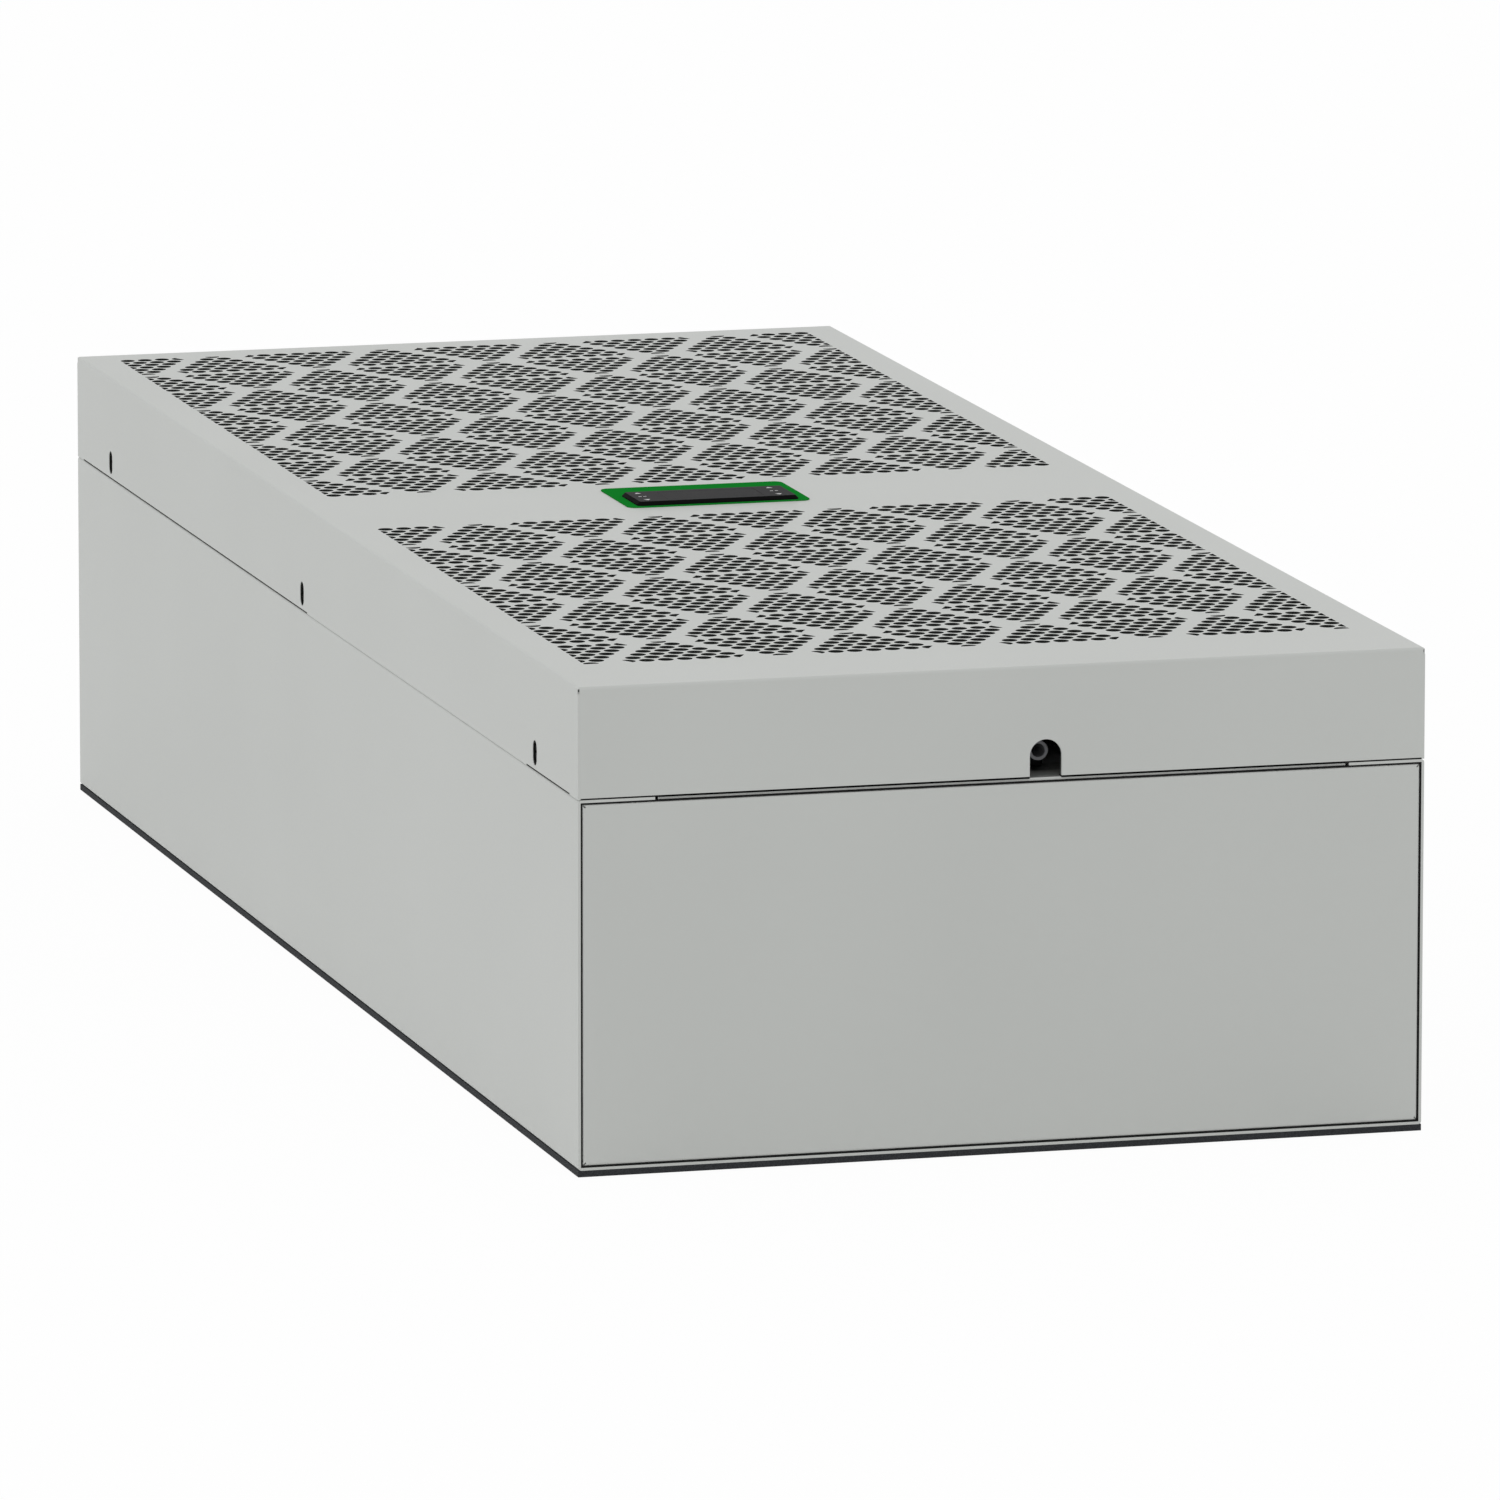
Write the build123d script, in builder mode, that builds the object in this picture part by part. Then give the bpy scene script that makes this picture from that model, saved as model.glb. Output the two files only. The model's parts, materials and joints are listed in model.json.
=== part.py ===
"""Side-mounted enclosure cooling unit, lying on its gasketed mounting face, cover up.

Millimetres. +X runs across the unit, +Y from its drain end to its other end and +Z out of the
mounting face to the cover. The origin is the middle of the gasket's underside.
"""

import os
from math import cos, radians, sin, sqrt, tan

from build123d import *

# Driving sizes of the whole unit
width = 400
length = 1000
depth = 225
cover_depth = 51
gasket_thickness = 3
gasket_width = 14
sheet = 1.25
bend_radius = 1.5
cover_bend = 1.25
seam_gap = 0.75

# Housing sheet metal
flange_width = 36
deck_gap = 1.5
deck_lip = 22
deck_end_setback = 1
end_panel_return = 18
end_panel_bend = 1.2
end_panel_gap = 0.8
corner_relief_length = 2.6
corner_relief_width = 0.6

# Mounting face
fixing_inset = 24
fixing_bore_radius = 2.5
fixing_nut_radius = 4.5
fixing_nut_length = 14
fixing_head_radius = 7
fixing_head_thickness = 1
inlet_radius = 85
inlet_margin = 150
outlet_length = 170
outlet_margin = 90
outlet_corner = 12

# Perforated triangles of the cover
hole_radius = 3.65
hole_pitch = 8.92
rows_per_triangle = 7
tile_web = 9.65
tile_base_margin = 6
corner_clip = 0.3
field_margin_side = 18
field_margin_near = 54.3
field_margin_far = 15.1
least_plain_band = 90
grille_margin_x = 8
grille_margin_y = 6

# Cover fixings and drain cut-out
slot_width = 7.2
slot_height = 11.7
slot_rise = 7.7
slot_margin_near = 76.7
slot_middle_shift = 20
slot_margin_far = 74
corner_notch = 0.8
corner_notch_height = 2.2
corner_notch_foot = 3.1
relief_height = 0.7
relief_margin_near = 15
relief_near_length = 77
relief_middle_shift = 10
relief_margin_far = 13
edge_clearance = 0.15
tab_width = 24
tab_height = 22
tab_foot = 20
tab_thickness = 2
tab_hole_radius = 3
drain_x = 19.6
drain_cut_radius = 7.55
drain_cut_height = 17
drain_rise = 9.75
drain_outer_radius = 4.6
drain_wall = 1.5
drain_setback = 12
drain_barrel = 17
drain_block_width = 14
drain_block_length = 12
drain_block_rim = 2
drain_chamfer = 1

# Display on the plain band
bezel_width = 91.1
bezel_length = 57
bezel_corner = 4.5
bezel_thickness = 0.5
bezel_x = -4.85
bezel_shift_y = 5.55
module_width = 80.7
module_length = 32
module_height = 2
module_chamfer = 1.5
module_shift_x = -0.25
module_shift_y = -10.35

# Condenser side, above the deck
condenser_side_gap = 40
condenser_end_inset = 6
condenser_height = 34
condenser_fin_pitch = 10
condenser_fin_gap = 4
condenser_fin_depth = 5
end_plate_foot = 14
end_plate_margin = 3
tube_radius = 4
tube_sides = 8
tube_pitch = 38
fan_radius = 108
fan_tip_clearance = 4
fan_hub_radius = 40
fan_hub_height = 22
fan_base_size = 92
fan_base_height = 12
fan_base_chamfer = 20
fan_blades = 7
blade_root_chord = 34
blade_tip_chord = 62
blade_thickness = 2.5
blade_pitch = 19
blade_sink = 3
fan_plate_side_gap = 30
fan_plate_end_inset = 49
fan_plate_rise = 38
fan_ring_depth = 14
control_box_width = 190
control_box_gap = 10
control_box_height = 44

# Evaporator side, behind the mounting face
evaporator_side_gap = 50
evaporator_overlap_x = 5
evaporator_overlap_y = 20
evaporator_height = 55
evaporator_rise = 38
tray_height = 30
tray_width = 26
impeller_radius = 100
impeller_eye = 72
impeller_height = 56
impeller_rise = 30
impeller_blades = 7
impeller_blade_pitch = 35
impeller_blade_thickness = 2
impeller_hub_radius = 36
inlet_plate_size = 210
inlet_ring_throat = 66
inlet_ring_depth = 22
motor_height = 30
motor_sides = 24
bridge_width = 60
bridge_gap = 40
bridge_foot = 16

# Levels and lines that follow from the sizes above
near_end = -length / 2
far_end = length / 2
side = width / 2
cover_bottom = depth - cover_depth
housing_top = cover_bottom - seam_gap
web_top = gasket_thickness + sheet
flange_under = housing_top - sheet
inner_radius = bend_radius - sheet
row_pitch = hole_pitch * sqrt(3) / 2
tile_pitch = hole_pitch * (rows_per_triangle + 3) / 2
tile_height = row_pitch * (rows_per_triangle - 1) + tile_web
tile_room = length - field_margin_near - field_margin_far - least_plain_band
lower_tile_rows = int(tile_room / tile_height) // 2
upper_tile_rows = int(tile_room / tile_height) - lower_tile_rows
lower_field_start = near_end + field_margin_near
lower_field_end = lower_field_start + lower_tile_rows * tile_height
upper_field_end = far_end - field_margin_far
upper_field_start = upper_field_end - upper_tile_rows * tile_height
lower_middle = (lower_field_start + lower_field_end) / 2
upper_middle = (upper_field_start + upper_field_end) / 2
band_middle = (lower_field_end + upper_field_start) / 2
field_half_width = side - field_margin_side
side_columns = int(field_half_width / tile_pitch)
grille_half_width = field_half_width + grille_margin_x
slot_z = cover_bottom + slot_rise
inlet_y = far_end - inlet_margin - inlet_radius
outlet_y = near_end + outlet_margin + outlet_length / 2
evaporator_width = width - 2 * evaporator_side_gap
evaporator_length = outlet_length + 2 * evaporator_overlap_y
outlet_width = evaporator_width - 2 * evaporator_overlap_x

os.makedirs("parts", exist_ok=True)


def save(name, piece):
    """Label one finished piece and write it as its own file."""
    piece.label = name
    export_step(piece, f"parts/{name}.step")


# Wrapper: mounting web, two side walls and their inward flanges, folded from one sheet
wrapper_height = housing_top - gasket_thickness
wrapper_middle = gasket_thickness + wrapper_height / 2
fixing_x = side - fixing_inset
fixing_y = length / 2 - fixing_inset
fixing_places = [(x, y) for x in (-fixing_x, fixing_x) for y in (-fixing_y, 0, fixing_y)]
with BuildPart() as wrapper:
    with BuildSketch(Plane.XZ):
        with Locations((0, wrapper_middle)):
            RectangleRounded(width, wrapper_height, bend_radius)
            RectangleRounded(
                width - 2 * sheet,
                wrapper_height - 2 * sheet,
                inner_radius,
                mode=Mode.SUBTRACT,
            )
        with Locations((0, housing_top)):
            Rectangle(width - 2 * flange_width, 4 * sheet, mode=Mode.SUBTRACT)
    extrude(amount=length / 2, both=True)
    with BuildSketch(Plane.XY.offset(gasket_thickness)):
        with Locations((0, inlet_y)):
            Circle(inlet_radius)
        with Locations((0, outlet_y)):
            RectangleRounded(outlet_width, outlet_length, outlet_corner)
        with Locations(*fixing_places):
            RegularPolygon(fixing_nut_radius, 6)
    extrude(amount=sheet, mode=Mode.SUBTRACT)
save("housing_wrapper", wrapper.part)

# End panels: shallow pans folded inwards, set inside the wrapper's ends
panel_width = width - 2 * sheet - 2 * end_panel_gap
panel_height = flange_under - web_top - 2 * end_panel_gap
panel_middle = (flange_under + web_top) / 2
relief_x = panel_width / 2 - end_panel_bend / 2
relief_z = panel_height / 2 - end_panel_bend / 2
for panel_name, direction in (("lower_end_panel", -1), ("upper_end_panel", 1)):
    face_plane = Plane(
        origin=(0, direction * length / 2, panel_middle),
        x_dir=(1, 0, 0),
        z_dir=(0, -direction, 0),
    )
    with BuildPart() as end_panel:
        with BuildSketch(face_plane):
            Rectangle(panel_width, panel_height)
        extrude(amount=end_panel_return)
        fillet(end_panel.faces().sort_by(Axis.Y)[0 if direction < 0 else -1].edges(), end_panel_bend)
        with BuildSketch(face_plane.offset(sheet)):
            Rectangle(panel_width - 2 * sheet, panel_height - 2 * sheet)
        extrude(amount=end_panel_return, mode=Mode.SUBTRACT)
        for corner_x in (-1, 1):
            for corner_z in (-1, 1):
                with BuildSketch(face_plane):
                    with Locations((corner_x * relief_x, corner_z * relief_z)):
                        Rectangle(
                            corner_relief_length,
                            corner_relief_width,
                            rotation=45 * corner_x * corner_z,
                        )
                extrude(amount=bend_radius, mode=Mode.SUBTRACT)
    save(panel_name, end_panel.part)

# Deck between the two air circuits, its joggled edges under the wrapper's flanges
deck_half = side - flange_width - deck_gap
deck_length = length - 2 * deck_end_setback
lip_half = side - flange_width + deck_lip
lip_length = length - 2 * end_panel_return - 2 * seam_gap
with BuildPart() as deck:
    with BuildSketch(Plane.XY.offset(flange_under)):
        Rectangle(2 * deck_half, deck_length)
    extrude(amount=sheet)
    with BuildSketch(Plane.XY.offset(flange_under - sheet)):
        Rectangle(2 * lip_half, lip_length)
        Rectangle(2 * (deck_half - sheet), lip_length, mode=Mode.SUBTRACT)
    extrude(amount=sheet)
save("deck", deck.part)

# Gasket ring on the mounting face
with BuildPart() as gasket:
    with BuildSketch():
        Rectangle(width, length)
        Rectangle(width - 2 * gasket_width, length - 2 * gasket_width, mode=Mode.SUBTRACT)
    extrude(amount=gasket_thickness)
save("gasket", gasket.part)

# Six rivet nuts that take the fixing screws
with BuildPart() as fixing_nuts:
    with BuildSketch(Plane.XY.offset(gasket_thickness - fixing_head_thickness)):
        with Locations(*fixing_places):
            RegularPolygon(fixing_head_radius, 6)
    extrude(amount=fixing_head_thickness)
    with BuildSketch(Plane.XY.offset(gasket_thickness)):
        with Locations(*fixing_places):
            RegularPolygon(fixing_nut_radius, 6)
    extrude(amount=fixing_nut_length)
    with BuildSketch(Plane.XY.offset(gasket_thickness - fixing_head_thickness)):
        with Locations(*fixing_places):
            Circle(fixing_bore_radius)
    extrude(amount=fixing_nut_length + fixing_head_thickness, mode=Mode.SUBTRACT)
save("fixing_nuts", fixing_nuts.part)

# Cover: one folded sheet with its perforated fields, slots and drain cut-out
slot_ys = (near_end + slot_margin_near, slot_middle_shift, far_end - slot_margin_far)
relief_starts = (near_end + relief_margin_near, relief_middle_shift)
relief_ends = (near_end + relief_margin_near + relief_near_length, far_end - relief_margin_far)
lower_plate = lower_field_end - lower_field_start + 2 * grille_margin_y
upper_plate = upper_field_end - upper_field_start + 2 * grille_margin_y
side_edge = housing_top + edge_clearance
drain_cut_z = cover_bottom + drain_cut_height - drain_cut_radius
with BuildPart() as cover:
    with BuildSketch(Plane.XY.offset(side_edge)):
        Rectangle(width, length)
    extrude(amount=depth - side_edge)
    fillet(cover.faces().sort_by(Axis.Z)[-1].edges(), cover_bend)
    with BuildSketch(Plane.XY.offset(depth - corner_notch_foot)):
        with GridLocations(width - corner_notch, length - corner_notch, 2, 2):
            Rectangle(corner_notch, corner_notch)
    extrude(amount=corner_notch_height, mode=Mode.SUBTRACT)
    with BuildSketch(Plane.XY.offset(side_edge)):
        Rectangle(width - 2 * sheet, length - 2 * sheet)
    extrude(amount=depth - sheet - side_edge, mode=Mode.SUBTRACT)
    with BuildSketch(Plane.XY.offset(depth - sheet)):
        with Locations((0, lower_middle)):
            Rectangle(2 * grille_half_width, lower_plate)
        with Locations((0, upper_middle)):
            Rectangle(2 * grille_half_width, upper_plate)
    extrude(amount=sheet, mode=Mode.SUBTRACT)
    with BuildSketch(Plane.YZ):
        for slot_y in slot_ys:
            with Locations((slot_y, slot_z)):
                SlotOverall(slot_height, slot_width, rotation=90)
        for start, end in zip(relief_starts, relief_ends):
            with Locations(((start + end) / 2, side_edge + relief_height / 2)):
                Rectangle(end - start, relief_height)
    extrude(amount=side, both=True, mode=Mode.SUBTRACT)
    with BuildSketch(Plane.XZ):
        with Locations((0, (side_edge + cover_bottom) / 2)):
            Rectangle(width - 2 * sheet, cover_bottom - side_edge)
    extrude(amount=length / 2, both=True, mode=Mode.SUBTRACT)
    with BuildSketch(Plane.XZ):
        with Locations((drain_x, drain_cut_z)):
            Circle(drain_cut_radius)
        with Locations((drain_x, (cover_bottom + drain_cut_z) / 2)):
            Rectangle(2 * drain_cut_radius, drain_cut_z - cover_bottom)
    extrude(amount=length / 2, mode=Mode.SUBTRACT)
save("cover", cover.part)

# Window of one perforated triangle: the hull of its holes, its three corners clipped
half_base = hole_pitch * (rows_per_triangle - 1) / 2
triangle_rise = row_pitch * (rows_per_triangle - 1)
centroid_rise = triangle_rise / 3
base_offset = centroid_rise + hole_radius
clip_offset = 2 * centroid_rise + corner_clip
clip_half = (2 * base_offset - clip_offset) * tan(radians(30))
window_outline = []
for turn in (0, 120, 240):
    for across in (-clip_half, clip_half):
        window_outline.append(
            (
                across * cos(radians(turn)) + clip_offset * sin(radians(turn)),
                clip_offset * cos(radians(turn)) - across * sin(radians(turn)),
            )
        )


def grille_plate(name, middle, field_start, tile_rows, plate_length, parity):
    """Make one perforated field of the cover, a window for each triangle of holes."""
    with BuildPart() as grille:
        with BuildSketch(Plane.XY.offset(depth - sheet)):
            with Locations((0, middle)):
                Rectangle(2 * grille_half_width, plate_length)
        extrude(amount=sheet)
        with BuildSketch(Plane.XY.offset(depth - sheet)):
            for row in range(tile_rows):
                for column in range(-side_columns, side_columns + 1):
                    points_up = (column + row) % 2 == parity
                    base = tile_base_margin + centroid_rise
                    rise = base if points_up else tile_height - base
                    place = (column * tile_pitch, field_start + row * tile_height + rise)
                    with Locations(Location(place, 0 if points_up else 180)):
                        Polygon(*window_outline, align=None)
            with Locations((0, middle)):
                Rectangle(2 * field_half_width, plate_length, mode=Mode.INTERSECT)
        extrude(amount=sheet, mode=Mode.SUBTRACT)
    save(name, grille.part)


grille_plate("lower_grille", lower_middle, lower_field_start, lower_tile_rows, lower_plate, 1)
grille_plate("upper_grille", upper_middle, upper_field_start, upper_tile_rows, upper_plate, 0)

# Fixing tabs that stand on the flanges behind the cover's side slots
for side_name, hand in (("left", -1), ("right", 1)):
    for number, slot_y in enumerate(slot_ys, start=1):
        wall = hand * (side - sheet)
        with BuildPart() as tab:
            with BuildSketch(Plane.XZ.offset(-slot_y)):
                with BuildLine():
                    Polyline(
                        (wall, housing_top),
                        (wall, housing_top + tab_height),
                        (wall - hand * tab_thickness, housing_top + tab_height),
                        (wall - hand * tab_thickness, housing_top + tab_thickness),
                        (wall - hand * tab_foot, housing_top + tab_thickness),
                        (wall - hand * tab_foot, housing_top),
                        close=True,
                    )
                make_face()
            extrude(amount=tab_width / 2, both=True)
            with BuildSketch(Plane.YZ):
                with Locations((slot_y, slot_z)):
                    RegularPolygon(tab_hole_radius, 6)
            extrude(amount=hand * side, mode=Mode.SUBTRACT)
        save(f"cover_tab_{side_name}_{number}", tab.part)

# Drain spigot behind the cut-out, its block standing on the deck
drain_z = cover_bottom + drain_rise
drain_mouth = near_end + drain_setback
drain_block_top = drain_z + drain_outer_radius + drain_block_rim
with BuildPart() as drain:
    with BuildSketch(Plane.XY.offset(housing_top)):
        with Locations((drain_x, drain_mouth + drain_barrel + drain_block_length / 2)):
            Rectangle(drain_block_width, drain_block_length)
    extrude(amount=drain_block_top - housing_top)
    chamfer(drain.faces().sort_by(Axis.Z)[-1].edges(), drain_chamfer)
    with BuildSketch(Plane.XZ.offset(-drain_mouth)):
        with Locations((drain_x, drain_z)):
            Circle(drain_outer_radius)
    extrude(amount=-drain_barrel)
    with BuildSketch(Plane.XZ.offset(-drain_mouth)):
        with Locations((drain_x, drain_z)):
            Circle(drain_outer_radius - drain_wall)
    extrude(amount=-(drain_barrel + drain_block_length / 2), mode=Mode.SUBTRACT)
save("drain_spigot", drain.part)

# Display: a coloured bezel sheet with the raised module on it
bezel_y = band_middle + bezel_shift_y
with BuildPart() as bezel:
    with BuildSketch(Plane.XY.offset(depth)):
        with Locations((bezel_x, bezel_y)):
            RectangleRounded(bezel_width, bezel_length, bezel_corner)
    extrude(amount=bezel_thickness)
save("display_bezel", bezel.part)

module_bottom = depth + bezel_thickness
with BuildPart() as module:
    with BuildSketch(Plane.XY.offset(module_bottom)):
        with Locations((bezel_x + module_shift_x, bezel_y + module_shift_y)):
            Rectangle(module_width, module_length)
    extrude(amount=module_height)
    chamfer(module.faces().sort_by(Axis.Z)[-1].edges(), module_chamfer)
save("display_module", module.part)

# Control box on the deck under the display
with BuildPart() as control_box:
    with BuildSketch(Plane.XY.offset(housing_top)):
        with Locations((bezel_x, band_middle)):
            Rectangle(control_box_width, upper_field_start - lower_field_end - 2 * control_box_gap)
    extrude(amount=control_box_height)
    chamfer(control_box.faces().sort_by(Axis.Z)[-1].edges(), sheet)
save("control_box", control_box.part)


def fin_block(name, block_width, block_length, block_height, bottom, middle_y, grooves_up):
    """Make a finned heat exchanger core with grooves between groups of fins on one face."""
    groove_count = int((block_width - condenser_fin_pitch) / condenser_fin_pitch)
    groove_inset = condenser_fin_depth / 2
    groove_z = bottom + block_height - groove_inset if grooves_up else bottom + groove_inset
    with BuildPart() as fins:
        with BuildSketch(Plane.XZ.offset(-middle_y)):
            with Locations((0, bottom + block_height / 2)):
                Rectangle(block_width, block_height)
            with Locations((0, groove_z)):
                with GridLocations(condenser_fin_pitch, 1, groove_count, 1):
                    Rectangle(condenser_fin_gap, condenser_fin_depth, mode=Mode.SUBTRACT)
        extrude(amount=block_length / 2, both=True)
    save(name, fins.part)


def end_plate(name, hand, half_width, plate_length, foot_level, plate_height, middle_y):
    """Make a tube sheet standing on an outward foot, beside a fin block."""
    inner = hand * half_width
    outer = inner + hand * sheet
    foot = outer + hand * end_plate_foot
    with BuildPart() as plate:
        with BuildSketch(Plane.XZ.offset(-middle_y)):
            with BuildLine():
                Polyline(
                    (inner, foot_level),
                    (inner, foot_level + plate_height),
                    (outer, foot_level + plate_height),
                    (outer, foot_level + sheet),
                    (foot, foot_level + sheet),
                    (foot, foot_level),
                    close=True,
                )
            make_face()
        extrude(amount=plate_length / 2, both=True)
    save(name, plate.part)


# Condenser: finned core between two tube sheets, with its tube bends on the left
condenser_width = width - 2 * condenser_side_gap
condenser_length = lower_field_end - lower_field_start - 2 * condenser_end_inset
condenser_bottom = housing_top + end_plate_margin
fin_block(
    "condenser_core",
    condenser_width,
    condenser_length,
    condenser_height,
    condenser_bottom,
    lower_middle,
    True,
)
for plate_name, hand in (("condenser_plate_left", -1), ("condenser_plate_right", 1)):
    end_plate(
        plate_name,
        hand,
        condenser_width / 2,
        condenser_length,
        housing_top,
        condenser_height + 2 * end_plate_margin,
        lower_middle,
    )

bend_face = -condenser_width / 2 - sheet
bend_level = condenser_bottom + condenser_height / 2
tube_pairs = round(condenser_length / (2 * tube_pitch))
with BuildPart() as bends:
    for pair in range(tube_pairs):
        pair_middle = lower_middle + (2 * pair + 1 - tube_pairs) * tube_pitch
        with BuildSketch(Plane.YZ.offset(bend_face)):
            with Locations(
                (pair_middle - tube_pitch / 2, bend_level),
                (pair_middle + tube_pitch / 2, bend_level),
            ):
                RegularPolygon(tube_radius, tube_sides, rotation=180 / tube_sides)
        extrude(amount=-2 * tube_radius)
        with BuildSketch(Plane.XZ.offset(-pair_middle)):
            with Locations((bend_face - tube_radius, bend_level)):
                RegularPolygon(tube_radius, tube_sides, rotation=180 / tube_sides)
        extrude(amount=tube_pitch / 2, both=True)
save("condenser_bends", bends.part)

# Condenser fan: plate with its ring, motor base on the deck, and rotor
fan_plate_top = housing_top + fan_plate_rise
fan_plate_length = upper_field_end - upper_field_start - 2 * fan_plate_end_inset
with BuildPart() as fan_plate:
    with BuildSketch(Plane.YZ):
        with Locations((upper_middle, housing_top + fan_plate_rise / 2)):
            Rectangle(fan_plate_length, fan_plate_rise)
        with Locations((upper_middle, housing_top + (fan_plate_rise - sheet) / 2)):
            Rectangle(fan_plate_length - 2 * sheet, fan_plate_rise - sheet, mode=Mode.SUBTRACT)
    extrude(amount=side - fan_plate_side_gap, both=True)
    with BuildSketch(Plane.XY.offset(fan_plate_top - fan_ring_depth)):
        with Locations((0, upper_middle)):
            Circle(fan_radius + fan_tip_clearance + sheet)
    extrude(amount=fan_ring_depth)
    with BuildSketch(Plane.XY.offset(fan_plate_top - fan_ring_depth)):
        with Locations((0, upper_middle)):
            Circle(fan_radius + fan_tip_clearance)
    extrude(amount=fan_ring_depth, mode=Mode.SUBTRACT)
save("condenser_fan_plate", fan_plate.part)

with BuildPart() as fan_base:
    with BuildSketch(Plane.XY.offset(housing_top)):
        with Locations((0, upper_middle)):
            Rectangle(fan_base_size, fan_base_size)
    extrude(amount=fan_base_height)
    chamfer(fan_base.edges().filter_by(Axis.Z), fan_base_chamfer)
save("condenser_fan_base", fan_base.part)

rotor_bottom = housing_top + fan_base_height
blade_reach = fan_radius - fan_hub_radius
with BuildPart() as rotor:
    with BuildSketch(Plane.XY.offset(rotor_bottom)):
        with Locations((0, upper_middle)):
            Circle(fan_hub_radius)
    extrude(amount=fan_hub_height)
    for blade in range(fan_blades):
        turn = radians(360 / fan_blades * blade)
        outward = Vector(cos(turn), sin(turn), 0)
        around = Vector(-sin(turn), cos(turn), 0)
        along = around * cos(radians(blade_pitch)) + Vector(0, 0, sin(radians(blade_pitch)))
        hub_middle = Vector(0, upper_middle, rotor_bottom + fan_hub_height / 2)
        root = hub_middle + outward * (fan_hub_radius - blade_sink)
        with BuildSketch(Plane(root, x_dir=outward, z_dir=outward.cross(along))):
            Polygon(
                (0, -blade_root_chord / 2),
                (blade_reach, -blade_tip_chord / 2),
                (blade_reach, blade_tip_chord / 2),
                (0, blade_root_chord / 2),
                align=None,
            )
        extrude(amount=blade_thickness / 2, both=True)
save("condenser_fan_rotor", rotor.part)

# Evaporator: finned core between two tube sheets that stand on the web
fin_block(
    "evaporator_core",
    evaporator_width,
    evaporator_length,
    evaporator_height,
    web_top + evaporator_rise,
    outlet_y,
    False,
)
for plate_name, hand in (("evaporator_plate_left", -1), ("evaporator_plate_right", 1)):
    end_plate(
        plate_name,
        hand,
        evaporator_width / 2,
        evaporator_length,
        web_top,
        evaporator_rise + evaporator_height + end_plate_margin,
        outlet_y,
    )

# Condensate tray between the tube sheets, under the core when the unit hangs on its wall
tray_front = outlet_y - evaporator_length / 2
tray_level = web_top + evaporator_rise
with BuildPart() as tray:
    with BuildSketch(Plane.YZ):
        with BuildLine():
            Polyline(
                (tray_front, tray_level),
                (tray_front, tray_level + sheet),
                (tray_front - tray_width + sheet, tray_level + sheet),
                (tray_front - tray_width + sheet, tray_level + tray_height),
                (tray_front - tray_width, tray_level + tray_height),
                (tray_front - tray_width, tray_level),
                close=True,
            )
        make_face()
    extrude(amount=evaporator_width / 2, both=True)
save("condensate_tray", tray.part)

# Evaporator fan: inlet ring on the web, impeller, motor and bridge
with BuildPart() as inlet_ring:
    with BuildSketch(Plane.XY.offset(web_top)):
        with Locations((0, inlet_y)):
            Rectangle(inlet_plate_size, inlet_plate_size)
    extrude(amount=sheet)
    with BuildSketch(Plane.XY.offset(web_top)):
        with Locations((0, inlet_y)):
            Circle(inlet_ring_throat + sheet)
    extrude(amount=inlet_ring_depth)
    with BuildSketch(Plane.XY.offset(web_top)):
        with Locations((0, inlet_y)):
            Circle(inlet_ring_throat)
    extrude(amount=inlet_ring_depth, mode=Mode.SUBTRACT)
save("inlet_ring", inlet_ring.part)

impeller_bottom = web_top + impeller_rise
impeller_top = impeller_bottom + impeller_height
with BuildPart() as impeller:
    with BuildSketch(Plane.XY.offset(impeller_bottom)):
        for blade in range(impeller_blades):
            with Locations(Location((0, inlet_y), 360 / impeller_blades * blade)):
                with Locations(((impeller_radius + impeller_eye) / 2, 0)):
                    Rectangle(
                        impeller_radius - impeller_eye,
                        impeller_blade_thickness,
                        rotation=impeller_blade_pitch,
                    )
    extrude(amount=impeller_height)
    with BuildSketch(Plane.XY.offset(impeller_top - impeller_blade_thickness)):
        with Locations((0, inlet_y)):
            Circle(impeller_radius)
    extrude(amount=impeller_blade_thickness)
    with BuildSketch(Plane.XY.offset(impeller_top - impeller_height / 2)):
        with Locations((0, inlet_y)):
            Circle(impeller_hub_radius)
    extrude(amount=impeller_height / 2)
save("evaporator_impeller", impeller.part)

with BuildPart() as motor:
    with BuildSketch(Plane.XY.offset(impeller_top)):
        with Locations((0, inlet_y)):
            RegularPolygon(impeller_hub_radius, motor_sides)
    extrude(amount=motor_height)
save("evaporator_motor", motor.part)

bridge_under = impeller_top + motor_height
bridge_half_span = impeller_radius + bridge_gap
with BuildPart() as bridge:
    with BuildSketch(Plane.XZ.offset(-inlet_y)):
        with BuildLine():
            Polyline(
                (-bridge_half_span - bridge_foot, web_top),
                (-bridge_half_span, web_top),
                (-bridge_half_span, bridge_under),
                (bridge_half_span, bridge_under),
                (bridge_half_span, web_top),
                (bridge_half_span + bridge_foot, web_top),
                (bridge_half_span + bridge_foot, web_top + sheet),
                (bridge_half_span + sheet, web_top + sheet),
                (bridge_half_span + sheet, bridge_under + sheet),
                (-bridge_half_span - sheet, bridge_under + sheet),
                (-bridge_half_span - sheet, web_top + sheet),
                (-bridge_half_span - bridge_foot, web_top + sheet),
                close=True,
            )
        make_face()
    extrude(amount=bridge_width / 2, both=True)
save("evaporator_fan_bridge", bridge.part)
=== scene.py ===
"""Looks of a slim enclosure cooling unit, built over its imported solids.

The unit lies on its gasketed mounting face with the perforated cover up. Sizes are in
millimetres in the frame of the solids, and a piece is scaled to metres when it is handed over.
"""

import json
import logging
import math
from collections.abc import Callable, Iterator, Sequence
from contextlib import contextmanager
from dataclasses import dataclass
from enum import Enum
from functools import cache

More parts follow.
